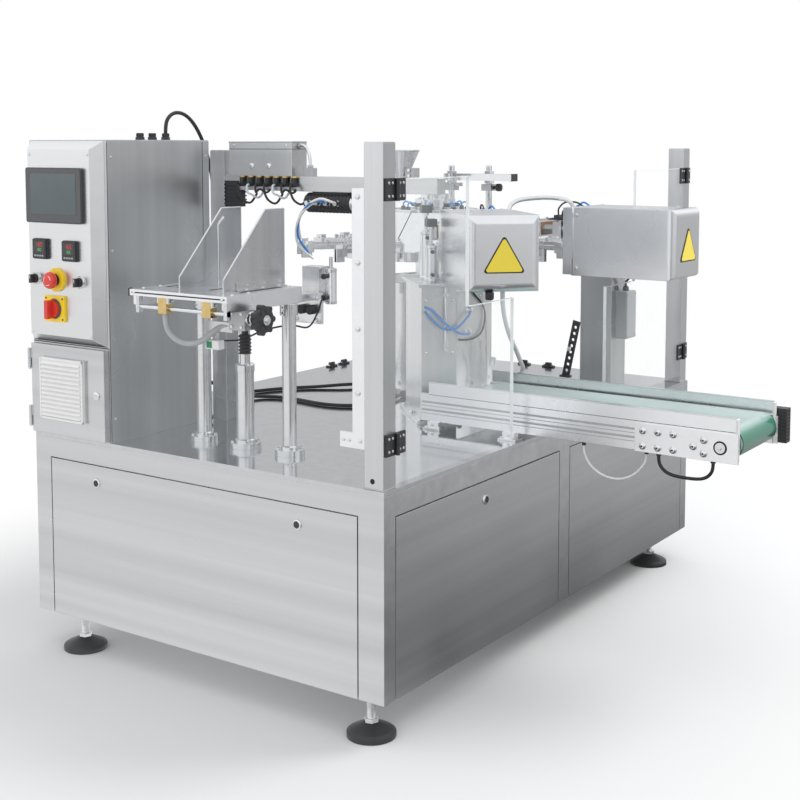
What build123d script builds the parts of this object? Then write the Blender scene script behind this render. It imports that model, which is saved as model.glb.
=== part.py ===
"""Rotary premade pouch filling machine.

Millimetres, +Z up. Every piece is modelled from one datum, the front right corner of the
table top: x runs right, y runs back and z runs up from the table. Pieces are moved to the
row frame, whose origin is the centre of the whole machine on the floor, as they are written.
"""
from build123d import *
import math
import os

os.makedirs("parts", exist_ok=True)

# Base cabinet and table
BASE_W = 1109.0
BASE_D = 1663.0
BASE_H = 473.0
TABLE_T = 10.0
PANEL_T = 12.0
PANEL_GAP = 3.0
PANEL_TOP = -64.0
FRONT_STILE = 58.0
SIDE_STILE = 46.0
SIDE_MID_STILE = 62.0
LOCK_R = 8.0
LOCK_OUT = 4.0
LOCK_DROP = 44.0

# Levelling feet
FOOT_H = 95.0
FOOT_PAD_R = 56.0
FOOT_PAD_H = 16.0
FOOT_CONE_H = 14.0
FOOT_STEM_R = 9.0
FOOT_NUT_R = 16.0
FOOT_NUT_H = 12.0
FOOT_IN_X = (66.0, 123.0)
FOOT_IN_Y = (44.0, 129.0)

# Control cabinet
CAB_W = 280.0
CAB_D = 366.0
CAB_H = 751.0
CAB_PANEL_Z0 = 240.0
CAB_PANEL_INSET = 6.0
CAB_BEVEL = 22.0
CAB_PANEL_OUT = 30.0
CAB_DOOR_T = 18.0
CAB_DOOR_GAP = 5.0
CAB_DOOR_SEAT = 0.5
CAB_HINGE_R = 5.0
CAB_HINGE_L = 26.0
LOUVER_W = 156.0
LOUVER_H = 156.0
LOUVER_T = 8.0
LOUVER_SLATS = 13

# Controls on the cabinet front, placed from its left edge and the table
SCREEN_W = 204.0
SCREEN_H = 138.0
SCREEN_T = 8.0
SCREEN_AT = (130.0, 615.0)
METER_W = 48.0
METER_T = 10.0
METERS_AT = ((75.0, 480.0), (183.0, 478.0))
ESTOP_AT = (129.0, 404.0)
ESTOP_COLLAR_R = 30.0
ESTOP_COLLAR_T = 6.0
ESTOP_HEAD_R = 20.0
ESTOP_HEAD_T = 14.0
ESTOP_STEM_R = 11.0
ESTOP_STAND = 12.0
ESTOP_TRAVEL = 5.0
SELECTORS_AT = ((51.0, 404.0), (213.0, 402.0))
SELECTOR_RING_R = 15.0
SELECTOR_RING_T = 5.0
SELECTOR_KNOB_R = 11.0
SELECTOR_KNOB_T = 16.0
SELECTOR_GRIP_W = 8.0
SELECTOR_SKIRT_T = 5.0
SWITCH_AT = (123.0, 331.0)
SWITCH_W = 74.0
SWITCH_H = 66.0
SWITCH_T = 6.0
SWITCH_KNOB_R = 21.0
SWITCH_KNOB_T = 12.0
SWITCH_GRIP_W = 12.0
SWITCH_GRIP_L = 46.0
SWITCH_GRIP_T = 16.0
RUN_GAP = 0.3
GLAND_IN = 209.0
GLANDS_Y = (185.0, 229.0, 278.0)
GLAND_R = 9.0
GLAND_H = 20.0

# Guard posts, beam and doors
POST_W = 50.0
POST_D = 45.0
POST_H = 745.0
POST_INSET = 5.0
POST_SEAT = 0.05
REAR_POST_H = 728.0
LEFT_POST_AT = (-BASE_W + 299.0, 403.0)
LEFT_POST_H = 725.0
CHANNEL_W = 38.0
CHANNEL_D = 30.0
CHANNEL_Z = (117.0, 648.0)
CHANNEL_LIP = 3.0
CHANNEL_BACK = 8.0
BRACKET_SIDE = 34.0
BRACKET_T = 6.0
BEAM_Z = (622.0, 660.0)
BEAM_D = 36.0
BEAM_X1 = -116.0
VALVE_BOX_X = (-762.0, -550.0)
VALVE_BOX_D = 61.0
VALVE_BOX_Z = (660.0, 748.0)
DOOR_T = 8.0
DOOR_Z = (8.0, 668.0)
DOOR_CLEAR = 10.0
FRONT_DOOR_W = 515.0
FRONT_DOOR_STEP = 304.0
FRONT_DOOR_LOW_TOP = 366.0
REAR_DOOR_W = 538.0
REAR_DOOR_STEP = 350.0
REAR_DOOR_BOTTOM = 22.0
REAR_DOOR_LOW_TOP = 348.0
LEAF_W = 36.0
LEAF_H = 48.0
LEAF_T = 5.0
HINGE_BARREL_R = 4.5
HINGE_Z = (98.0, 646.0)

# Pouch magazine
MAG_COLS_X = (-671.0, -533.0, -393.0)
MAG_COLS_Y = 165.0
MAG_COL_R = (18.0, 13.0, 17.0)
MAG_SLEEVE_R = 22.0
MAG_SLEEVE_TOP = 205.0
MAG_FLANGE_R = (34.0, 39.0, 36.0)
MAG_FLANGE_T = 14.0
MAG_TOP = 403.0
MAG_TABLE_T = 9.0
MAG_X = (-682.0, -378.0)
MAG_Y = (-71.0, 200.0)
MAG_BEAM_H = 38.0
MAG_BEAM_W = 24.0
MAG_BAR_D = 13.0
MAG_BAR_H = 15.0
MAG_ROD_R = 5.0
MAG_END_IN = 30.0
MAG_END_W = 10.0
MAG_ROD_DROP = 40.0
PLATE_T = 3.0
PLATES_X = (-573.0, -436.0)
PLATE_Y = (-17.0, 130.0, 200.0)
PLATE_NOSE = 30.0
PLATE_H = 185.0
CLAMP_W = 26.0
CLAMP_D = 22.0
CLAMP_DROP = 11.0
HANDWHEEL_AT = (-345.0, 13.0, 345.0)
HANDWHEEL_R = 36.0
HANDWHEEL_T = 16.0
HANDWHEEL_LOBES = 7
HANDWHEEL_LOBE_R = 7.0
SHAFT_R = 6.0
SHAFT_FIT = 0.05
BLOCK_X = (-431.0, -384.0)
BLOCK_D = 36.0
BLOCK_Z = (318.0, 365.0)
PICKUP_AT = (-407.0, 252.0)
PICKUP_ARM_H = 18.0
PICKUP_PLATE = (88.0, 8.0, 58.0)
PICKUP_BODY = (52.0, 40.0, 88.0)
PICKUP_DROP = 8.0
PICKUP_CYLINDER_R = 13.0
PICKUP_CYLINDER_H = 82.0
PICKUP_LINK_L = 10.0
HOOK_R = 3.0
HOOK_AT = ((-548.0, 92.0), (-486.0, 132.0))
HOOK_H = (150.0, 70.0)
HOOK_BEND = 16.0

# Rotary turret
TURRET_AT = (-625.0, BASE_D - 503.0)
TURRET_DRUM_R = 175.0
TURRET_DRUM_H = 330.0
TURRET_FLANGE_R = 225.0
TURRET_FLANGE_T = 20.0
TURRET_SPINDLE_R = 60.0
TURRET_DISC_R = 300.0
TURRET_DISC_Z = (408.0, 430.0)
TURRET_DOME_R = (232.0, 130.0)
TURRET_DOME_TOP = 541.0
STATIONS = 8
GRIP_R = 425.0
ARM_W = 22.0
ARM_T = 14.0
ARM_SPREAD = 9.0
PIVOT_OUT = 10.0
PIVOT_R = 17.0
PIVOT_H = 26.0
HEAD_W = 28.0
HEAD_L = 34.0
HEAD_DROP = 8.0
HEAD_RISE = 10.0
FINGER_L = 30.0
FINGER_T = 4.0
FINGER_GAP = 5.0
FINGER_DROP = 24.0
HUB_R = 62.0
HUB_H = 34.0
HUB_CAP_R = 44.0
HUB_CAP_H = 16.0

# Seal stations
STATION_ANGLES = (-45.0, 0.0)
COVER_REACH = 825.0
COVER_L = 306.0
COVER_W = 188.0
COVER_Z = (375.0, 567.0)
COVER_ROUND = 22.0
FLANGE_L = 30.0
LEFT_STAND_X = (362.0, 582.0)
RIGHT_STAND_X = (468.0, 567.0)
STAND_OFF = 65.0
STAND_W = 95.0
SEAL_JAW_W = 170.0
SEAL_JAW_D = 22.0
SEAL_JAW_Z = (482.0, 522.0)
SEAL_JAW_BACK = (97.0, 37.0)
SEAL_PLATE_T = 8.0
SEAL_PLATE_GROW = 6.0
SEAL_BUSH_R = 15.0
SEAL_BUSH_T = 10.0
SEAL_PUSH_R = 12.0
SEAL_ROD_R = 8.0
SEAL_ROD_Y = 66.0
JUNCTION_SIZE = (33.0, 64.0, 138.0)
JUNCTION_Y0 = 94.0
JUNCTION_Z = 178.0
STRAP_AT = (-353.0, 1513.0)
STRAP_W = 26.0
STRAP_T = 4.0
STRAP_L = 185.0
STRAP_HOLES = 8
STRAP_HOLE_R = 5.0
STRAP_LEAN = 12.0

# Filling funnel and its rods
FUNNEL_ANGLE = 140.0
FUNNEL_R = 415.0
FUNNEL_TOP_R = 68.0
FUNNEL_NECK_R = 24.0
FUNNEL_Z = (560.0, 620.0, 722.0)
FUNNEL_WALL = 2.5
FUNNEL_STAND_R = 530.0
FUNNEL_ROD_R = 14.0
FUNNEL_ARM_W = 24.0
FUNNEL_ARM_DROP = (26.0, 46.0)
PORTAL_RODS = ((-844.0, BASE_D - 63.0), (-713.0, BASE_D - 33.0))
PORTAL_R = 11.0
ROD_FOOT_T = 12.0
ROD_FOOT_GROW = 17.0
PORTAL_TOP = 668.0
PORTAL_BAR_X = (-872.0, -605.0)
PORTAL_BAR_Z = (620.0, 643.0)

# Discharge conveyor
CONV_X = (-302.0, 552.0)
CONV_Y = (600.0, 862.0)
BELT_X0 = -240.0
DRUM_OUT = 12.0
DRUM_AXLE_R = 10.0
RAIL_T = 14.0
RAIL_Z = (20.0, 90.0)
GUARD_T = 3.0
GUARD_TOP = 122.0
BELT_T = 3.0
BELT_GAP = 6.0
PAN_IN = (50.0, 60.0)
BELT_Z = (24.0, 96.0)
LEG_X = (-262.0, -36.0)
LEG_W = 34.0
LEG_OUT = 8.0
END_PLATE_X = 306.0
END_PLATE_T = 5.0
DRIVE_SIZE = (50.0, 28.0, 84.0)
DRIVE_OUT = 28.0

# Cables and hoses: radius, then the route of each by hand
CABLE_R = 5.0
HOSE_R = 6.0
CONDUIT_R = 7.0
WHITE_CABLE_R = 3.0
BLACK_CABLE_R = 4.0
LIE = CABLE_R + 0.3
INLET_R = 9.0
INLET_L = 21.0
INLET_ANGLES = (-132.0, -80.0)
INLET_RUN = 48.0
STUB_R = 9.0
STUB_H = 14.0
STUBS_AT = ((-900.0, 472.0), (-1030.0, 480.0), (-985.0, 470.0), (-300.0, 1126.0))
CABINET_CABLE = (
    (-900.0, 278.0, 771.0),
    (-900.0, 278.0, 795.0),
    (-901.0, 292.0, 816.0),
    (-900.0, 318.0, 828.0),
    (-899.0, 356.0, 821.0),
    (-900.0, 395.0, 790.0),
    (-902.0, 432.0, 735.0),
    (-900.0, 452.0, 670.0),
    (-899.0, 462.0, 590.0),
    (-901.0, 466.0, 490.0),
    (-899.0, 464.0, 380.0),
    (-901.0, 467.0, 260.0),
    (-900.0, 470.0, 150.0),
    (-900.0, 472.0, 70.0),
    (-900.0, 472.0, 14.0),
)
REAR_TABLE_CABLE = (
    (-1030.0, 480.0, 14.0),
    (-1030.0, 480.0, 35.0),
    (-1028.5, 491.0, 55.0),
    (-1024.0, 515.0, 68.0),
    (-1019.0, 545.0, 63.0),
    (-1013.0, 580.0, 46.0),
    (-1006.0, 622.0, 24.0),
    (-998.0, 668.0, 9.0),
    (-984.0, 722.0, LIE),
    (-960.0, 780.0, LIE),
    (-925.0, 833.0, LIE),
    (-885.0, 878.0, LIE),
    (-850.0, 911.0, LIE + 2.0),
)
FRONT_TABLE_CABLE = (
    (-985.0, 470.0, 14.0),
    (-985.0, 470.0, 34.0),
    (-983.0, 481.0, 53.0),
    (-977.0, 503.0, 65.0),
    (-970.0, 530.0, 62.0),
    (-962.0, 560.0, 48.0),
    (-953.0, 596.0, 27.0),
    (-938.0, 637.0, 9.0),
    (-908.0, 675.0, LIE),
    (-866.0, 695.0, LIE),
    (-815.0, 697.0, LIE),
    (-760.0, 689.0, LIE),
    (-702.0, 681.0, LIE),
    (-650.0, 688.0, LIE),
    (-608.0, 713.0, LIE),
    (-583.0, 752.0, LIE),
    (-572.0, 805.0, LIE + 2.0),
)
SEAL_HOSE = (
    (-122.0, 708.0, 361.0),
    (-122.0, 708.0, 335.0),
    (-125.0, 720.0, 303.0),
    (-133.0, 748.0, 266.0),
    (-146.0, 792.0, 229.0),
    (-164.0, 848.0, 194.0),
    (-187.0, 909.0, 161.0),
    (-213.0, 970.0, 131.0),
    (-241.0, 1034.0, 107.0),
    (-272.0, 1085.0, 90.0),
    (-292.0, 1114.0, 70.0),
    (-300.0, 1126.0, 46.0),
    (-300.0, 1126.0, 14.0),
)
CONDUIT = (
    (-573.0, -64.5, 352.0),
    (-573.0, -64.5, 334.0),
    (-571.5, -60.0, 314.0),
    (-563.0, -52.0, 296.0),
    (-548.0, -42.0, 284.0),
    (-526.0, -31.0, 280.0),
    (-503.0, -17.0, 287.0),
    (-478.0, 5.0, 315.5),
    (-456.0, 12.0, 325.0),
    (-431.0, 12.0, 325.0),
)
WHITE_CABLE = (
    (168.0, 607.0, 12.0),
    (168.0, 607.0, -2.0),
    (173.0, 608.0, -19.0),
    (184.0, 609.0, -35.0),
    (199.0, 610.0, -48.0),
    (219.0, 610.0, -57.0),
    (243.0, 609.0, -61.0),
    (267.0, 609.0, -59.0),
    (290.0, 608.0, -50.0),
    (309.0, 607.0, -36.0),
    (322.0, 607.0, -20.0),
    (332.0, 607.0, -4.0),
    (332.0, 607.0, 12.0),
)
BLACK_CABLE = (
    (363.0, 607.0, 12.0),
    (363.0, 607.0, -3.0),
    (370.5, 608.0, -17.0),
    (383.0, 609.0, -27.0),
    (401.0, 610.0, -32.0),
    (430.0, 611.0, -33.5),
    (459.0, 610.0, -32.0),
    (477.0, 609.0, -27.0),
    (489.5, 608.0, -17.0),
    (497.0, 607.0, -3.0),
    (497.0, 607.0, 12.0),
)
NIPPLE_H = 8.0
NIPPLE_GROW = 2.0

# Row frame: centre of the machine on the floor
MACHINE_X = (-BASE_W - LOCK_OUT, CONV_X[1] + DRIVE_OUT)
MACHINE_Y = (MAG_Y[0] + MAG_BAR_D / 2 - CLAMP_D / 2, BASE_D + LOCK_OUT)
ROW_X = -sum(MACHINE_X) / 2
ROW_Y = -sum(MACHINE_Y) / 2
ROW_Z = FOOT_H + BASE_H


def block(x, y, z):
    """A box from its limits along each axis."""
    size = (x[1] - x[0], y[1] - y[0], z[1] - z[0])
    centre = ((x[0] + x[1]) / 2, (y[0] + y[1]) / 2, (z[0] + z[1]) / 2)
    return Pos(*centre) * Box(*size)


def drum(x, y, z0, z1, radius):
    """An upright cylinder between two heights."""
    return Pos(x, y, (z0 + z1) / 2) * Cylinder(radius, z1 - z0)


def rod_x(x0, x1, y, z, radius):
    """A round bar along x."""
    return Pos((x0 + x1) / 2, y, z) * Rot(0, 90, 0) * Cylinder(radius, x1 - x0)


def rod_y(y0, y1, x, z, radius):
    """A round bar along y."""
    return Pos(x, (y0 + y1) / 2, z) * Rot(90, 0, 0) * Cylinder(radius, y1 - y0)


def joined(pieces):
    """One solid or compound from several that meet."""
    whole = pieces[0]
    for piece in pieces[1:]:
        whole = whole + piece
    return whole


def write(node, shape):
    """Move a piece into the row frame and write it."""
    moved = Pos(ROW_X, ROW_Y, ROW_Z) * shape
    export_step(moved, f"parts/{node}.step")


def write_group(node, pieces):
    """Write like pieces that don't touch as one node."""
    write(node, Compound(children=list(pieces)))


# Base cabinet: housing with a shallow recess behind every lift-off panel
HOUSING_Z = (-BASE_H, -TABLE_T)
PANEL_Z = (-BASE_H, PANEL_TOP)


def panel_spans():
    """Every lift-off panel: which face it is on and its span along that face."""
    middle = (BASE_D - SIDE_MID_STILE) / 2
    spans = [("front", -BASE_W + FRONT_STILE, -FRONT_STILE - 14.0)]
    spans.append(("back", -BASE_W + FRONT_STILE, -FRONT_STILE))
    for side in ("right", "left"):
        spans.append((side, SIDE_STILE, middle))
        spans.append((side, middle + SIDE_MID_STILE, BASE_D - SIDE_STILE))
    return spans


def panel_box(face, low, high, grow, top):
    """A panel, or with grow the recess that it sits in."""
    span = (low - grow, high + grow)
    height = (PANEL_Z[0], PANEL_Z[1] + top)
    if face == "front":
        return block(span, (0, PANEL_T), height)
    if face == "back":
        return block(span, (BASE_D - PANEL_T, BASE_D), height)
    if face == "right":
        return block((-PANEL_T, 0), span, height)
    return block((-BASE_W, -BASE_W + PANEL_T), span, height)


def make_base():
    """Housing, table top, panels, locks and feet."""
    housing = block((-BASE_W, 0), (0, BASE_D), HOUSING_Z)
    for face, low, high in panel_spans():
        housing = housing - panel_box(face, low, high, PANEL_GAP, PANEL_GAP)
    write("base_housing", housing)
    table = block((-BASE_W, 0), (0, BASE_D), (-TABLE_T, 0))
    write("table_top", table)
    front = [panel_box(f, a, b, 0, 0) for f, a, b in panel_spans() if f == "front"]
    write_group("front_panel", front)
    others = [panel_box(f, a, b, 0, 0) for f, a, b in panel_spans() if f != "front"]
    write_group("side_and_back_panels", others)
    locks = []
    lock_z = PANEL_TOP - LOCK_DROP
    for face, low, high in panel_spans():
        centre = (low + high) / 2
        if face in ("front", "back"):
            y = -LOCK_OUT if face == "front" else BASE_D
            for x in (low + (high - low) * 0.17, high - (high - low) * 0.17):
                locks.append(rod_y(y, y + LOCK_OUT, x, lock_z, LOCK_R))
        else:
            x = 0 if face == "right" else -BASE_W - LOCK_OUT
            locks.append(rod_x(x, x + LOCK_OUT, centre, lock_z, LOCK_R))
    write_group("panel_locks", locks)


def make_feet():
    """Four levelling feet: pad, cone, stem and lock nut turned as one profile."""
    floor = -BASE_H - FOOT_H
    foot_x = (-FOOT_IN_X[0], -BASE_W + FOOT_IN_X[1])
    foot_y = (FOOT_IN_Y[0], BASE_D - FOOT_IN_Y[1])
    profile = Polyline(
        (0, floor),
        (FOOT_PAD_R, floor),
        (FOOT_PAD_R, floor + FOOT_PAD_H * 0.6),
        (FOOT_PAD_R - 8, floor + FOOT_PAD_H),
        (FOOT_STEM_R * 2, floor + FOOT_PAD_H + FOOT_CONE_H),
        (FOOT_STEM_R, floor + FOOT_PAD_H + FOOT_CONE_H),
        (FOOT_STEM_R, -BASE_H - FOOT_NUT_H),
        (FOOT_NUT_R, -BASE_H - FOOT_NUT_H),
        (FOOT_NUT_R, -BASE_H),
        (0, -BASE_H),
        close=True,
    )
    section = make_face(profile)
    foot = revolve(Plane.XZ * section, Axis.Z, 360)
    write_group("levelling_feet", [Pos(x, y, 0) * foot for x in foot_x for y in foot_y])


# Control cabinet
CAB_X = (-BASE_W, -BASE_W + CAB_W)
PANEL_FACE = -CAB_PANEL_OUT
CAB_HINGE_AT = (CAB_X[0] + CAB_HINGE_R, -CAB_DOOR_T - 1.0)
DOOR_BOX_Z = (CAB_DOOR_GAP, CAB_PANEL_Z0 - CAB_DOOR_GAP - 1.0)


def make_cabinet():
    """Cabinet body, its bevelled control panel, the louvred door and the glands."""
    body = block(CAB_X, (0, CAB_D), (0, CAB_H))
    hinge_z = [DOOR_BOX_Z[0] + 40.0, DOOR_BOX_Z[1] - 40.0]
    hx, hy = CAB_HINGE_AT
    for z in hinge_z:
        knuckle = drum(hx, hy, z - CAB_HINGE_L, z - RUN_GAP / 2, CAB_HINGE_R)
        arm = block((hx - CAB_HINGE_R, hx), (hy, 1.0), (z - CAB_HINGE_L, z - RUN_GAP / 2))
        body = body + knuckle + arm
    write("control_cabinet", body)

    inset = CAB_PANEL_INSET
    outer = Pos((CAB_X[0] + CAB_X[1]) / 2, 0, (CAB_PANEL_Z0 + CAB_H) / 2) * Rot(90, 0, 0)
    back_face = outer * Rectangle(CAB_W - 2 * inset, CAB_H - CAB_PANEL_Z0)
    face_w = CAB_W - 2 * inset - 2 * CAB_BEVEL
    face_h = CAB_H - CAB_PANEL_Z0 - 2 * CAB_BEVEL
    front_face = Pos(0, PANEL_FACE, 0) * outer * Rectangle(face_w, face_h)
    write("control_panel", loft([back_face, front_face]))

    door_x = (CAB_X[0] + 2 * CAB_HINGE_R + 1.0, CAB_X[1] - 3.0)
    door = block(door_x, (-CAB_DOOR_T, -CAB_DOOR_SEAT), DOOR_BOX_Z)
    for z in hinge_z:
        knuckle = drum(hx, hy, z + RUN_GAP / 2, z + CAB_HINGE_L, CAB_HINGE_R)
        leaf = block((hx, door_x[0] + 1.0), (hy, hy + 4.0), (z + RUN_GAP / 2, z + CAB_HINGE_L))
        door = door + knuckle + leaf
    centre_x = (door_x[0] + door_x[1]) / 2 - 14.0
    centre_z = (DOOR_BOX_Z[0] + DOOR_BOX_Z[1]) / 2 + 4.0
    half_w = LOUVER_W / 2
    half_h = LOUVER_H / 2
    write("cabinet_door", door)
    louver = block(
        (centre_x - half_w, centre_x + half_w),
        (-CAB_DOOR_T - LOUVER_T, -CAB_DOOR_T),
        (centre_z - half_h, centre_z + half_h),
    )
    pitch = LOUVER_H / (LOUVER_SLATS + 1)
    for index in range(LOUVER_SLATS):
        z = centre_z - half_h + (index + 1) * pitch
        slot = block(
            (centre_x - half_w + 6, centre_x + half_w - 6),
            (-CAB_DOOR_T - LOUVER_T - 1, -CAB_DOOR_T - LOUVER_T + 4),
            (z - pitch * 0.22, z + pitch * 0.22),
        )
        louver = louver - slot
    write("vent_louver", louver)

    glands = []
    gland_x = CAB_X[0] + GLAND_IN
    for y in GLANDS_Y:
        nut = extrude(Pos(gland_x, y, CAB_H) * RegularPolygon(GLAND_R + 3, 6), GLAND_H / 2)
        glands.append(nut + drum(gland_x, y, CAB_H, CAB_H + GLAND_H, GLAND_R))
    write_group("cable_glands", glands)


def on_panel(at, depth0, depth1, radius):
    """A round piece standing out of the control panel."""
    return rod_y(PANEL_FACE - depth1, PANEL_FACE - depth0, CAB_X[0] + at[0], at[1], radius)


def across_panel(at, width, height):
    """Limits in x and z of a flat piece centred on a place of the control panel."""
    x = CAB_X[0] + at[0]
    return (x - width / 2, x + width / 2), (at[1] - height / 2, at[1] + height / 2)


def make_controls():
    """Touch screen, temperature controllers, selectors, stop button and main switch."""
    x, z = across_panel(SCREEN_AT, SCREEN_W, SCREEN_H)
    screen = block(x, (PANEL_FACE - SCREEN_T, PANEL_FACE), z)
    screen = fillet(screen.edges().filter_by(Axis.Y), 6.0)
    write("touch_screen", screen)
    meters = []
    for at in METERS_AT:
        x, z = across_panel(at, METER_W, METER_W)
        meters.append(block(x, (PANEL_FACE - METER_T, PANEL_FACE), z))

    collar = on_panel(ESTOP_AT, 0, ESTOP_COLLAR_T, ESTOP_COLLAR_R)
    collar = collar - on_panel(ESTOP_AT, -1, ESTOP_COLLAR_T + 1, ESTOP_STEM_R + RUN_GAP)
    x, z = across_panel(SWITCH_AT, SWITCH_W, SWITCH_H)
    plate = block(x, (PANEL_FACE - SWITCH_T, PANEL_FACE), z)
    plate = fillet(plate.edges().filter_by(Axis.Y), 5.0)
    write_group("yellow_backplates", [collar, plate])

    stop_back = ESTOP_COLLAR_T + ESTOP_STAND
    stem = on_panel(ESTOP_AT, ESTOP_TRAVEL + RUN_GAP, stop_back, ESTOP_STEM_R)
    head = on_panel(ESTOP_AT, stop_back, stop_back + ESTOP_HEAD_T, ESTOP_HEAD_R)
    head = fillet(head.edges().group_by(Axis.Y)[0], 5.0)
    write("emergency_stop", stem + head)

    rings = []
    for at in SELECTORS_AT:
        rings.append(on_panel(at, 0, SELECTOR_RING_T, SELECTOR_RING_R))
    write_group("panel_fittings", meters + rings)
    for name, at in zip(("left_selector", "right_selector"), SELECTORS_AT):
        base = SELECTOR_RING_T + RUN_GAP
        knob = on_panel(at, base, base + SELECTOR_KNOB_T, SELECTOR_KNOB_R)
        grip, z = across_panel(at, SELECTOR_GRIP_W, SELECTOR_RING_R * 2)
        depth = (PANEL_FACE - base - SELECTOR_KNOB_T - 1, PANEL_FACE - base - SELECTOR_SKIRT_T)
        knob = knob - block((grip[0] - SELECTOR_KNOB_R, grip[0]), depth, z)
        knob = knob - block((grip[1], grip[1] + SELECTOR_KNOB_R), depth, z)
        write(name, knob)

    base = SWITCH_T + RUN_GAP
    knob = on_panel(SWITCH_AT, base, base + SWITCH_KNOB_T, SWITCH_KNOB_R)
    x, z = across_panel(SWITCH_AT, SWITCH_GRIP_W, SWITCH_GRIP_L)
    grip = block(x, (PANEL_FACE - base - SWITCH_KNOB_T - SWITCH_GRIP_T, PANEL_FACE - base - 2), z)
    write("main_switch_handle", knob + grip)


# Guard posts, the beam and the two clear doors
POST_X = (-POST_INSET - POST_W, -POST_INSET)
FRONT_POST_Y = (POST_INSET, POST_INSET + POST_D)
REAR_POST_Y = (BASE_D - POST_INSET - POST_D, BASE_D - POST_INSET)
HINGE_X = -POST_INSET + LEAF_T + HINGE_BARREL_R
FRONT_AXIS_Y = FRONT_POST_Y[1] - 4.0
REAR_AXIS_Y = REAR_POST_Y[0] + 4.0
DOOR_X = (-POST_INSET - DOOR_T, -POST_INSET)


def make_posts():
    """Three guard posts, the slotted channel on the near one, the beam and its valve box."""
    front = block(POST_X, FRONT_POST_Y, (POST_SEAT, POST_H))
    rear = block(POST_X, REAR_POST_Y, (POST_SEAT, REAR_POST_H))
    lx, ly = LEFT_POST_AT
    half = POST_W / 2
    left = block((lx - half, lx + half), (ly - half, ly + half), (0, LEFT_POST_H))
    write_group("guard_posts", [front, rear])

    x1 = POST_X[0]
    y1 = FRONT_POST_Y[0] + CHANNEL_BACK
    outer = block((x1 - CHANNEL_W, x1), (y1, y1 + CHANNEL_D), CHANNEL_Z)
    slot = block(
        (x1 - CHANNEL_W - 1, x1 - CHANNEL_LIP),
        (y1 + CHANNEL_LIP, y1 + CHANNEL_D - CHANNEL_LIP),
        CHANNEL_Z,
    )
    bracket_z = (CHANNEL_Z[0] - BRACKET_SIDE, CHANNEL_Z[0])
    bracket = block((x1 - CHANNEL_W - BRACKET_SIDE, x1), (y1, y1 + BRACKET_T), bracket_z)
    write("post_channel", outer - slot + bracket)

    beam_y = (ly - BEAM_D / 2, ly + BEAM_D / 2)
    beam = block((lx, BEAM_X1), beam_y, BEAM_Z)
    write("beam_and_post", left + beam)
    box = block(VALVE_BOX_X, (ly - VALVE_BOX_D / 2, ly + VALVE_BOX_D / 2), VALVE_BOX_Z)
    write("valve_box", box)


def hinge_leaf(axis_y, side, z, low, high):
    """One hinge leaf with its share of the barrel, side +1 towards +y."""
    leaf = block(
        (-POST_INSET, -POST_INSET + LEAF_T),
        (axis_y + 1, axis_y + LEAF_W) if side > 0 else (axis_y - LEAF_W, axis_y - 1),
        (z - LEAF_H / 2, z + LEAF_H / 2),
    )
    barrel = drum(HINGE_X, axis_y, z + low, z + high, HINGE_BARREL_R)
    web = block(
        (-POST_INSET, HINGE_X),
        (axis_y, axis_y + 2) if side > 0 else (axis_y - 2, axis_y),
        (z + low, z + high),
    )
    return leaf + barrel + web


def make_doors():
    """Hinge leaves on the posts and the two clear doors with their own leaves."""
    half = LEAF_H / 2
    fixed = []
    for axis_y, side in ((FRONT_AXIS_Y, -1), (REAR_AXIS_Y, 1)):
        for z in HINGE_Z:
            fixed.append(hinge_leaf(axis_y, side, z, -half, -RUN_GAP))
    write_group("hinge_leaves", fixed)

    front_y = FRONT_AXIS_Y + DOOR_CLEAR
    low_z = (DOOR_Z[0], FRONT_DOOR_LOW_TOP)
    lower = block(DOOR_X, (front_y, FRONT_AXIS_Y + FRONT_DOOR_W), low_z)
    upper = block(DOOR_X, (front_y, FRONT_AXIS_Y + FRONT_DOOR_STEP), DOOR_Z)
    write("front_door", lower + upper)
    rear_y = REAR_AXIS_Y - DOOR_CLEAR
    rear_z = (REAR_DOOR_BOTTOM, REAR_DOOR_LOW_TOP)
    lower = block(DOOR_X, (REAR_AXIS_Y - REAR_DOOR_W, rear_y), rear_z)
    upper = block(DOOR_X, (REAR_AXIS_Y - REAR_DOOR_STEP, rear_y), (REAR_DOOR_BOTTOM, DOOR_Z[1]))
    write("rear_door", lower + upper)
    front = [hinge_leaf(FRONT_AXIS_Y, 1, z, RUN_GAP, half) for z in HINGE_Z]
    write_group("front_door_leaves", front)
    rear = [hinge_leaf(REAR_AXIS_Y, -1, z, RUN_GAP, half) for z in HINGE_Z]
    write_group("rear_door_leaves", rear)


# Pouch magazine
MAG_UNDER = MAG_TOP - MAG_BEAM_H
MAG_PLATE_Z = (MAG_TOP - MAG_TABLE_T, MAG_TOP)
MAG_ROD_Z = MAG_TOP - MAG_ROD_DROP
MAG_ROD_Y = MAG_Y[0] + MAG_BAR_D / 2
BAR_Y = (MAG_Y[0], MAG_Y[0] + MAG_BAR_D)


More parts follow.
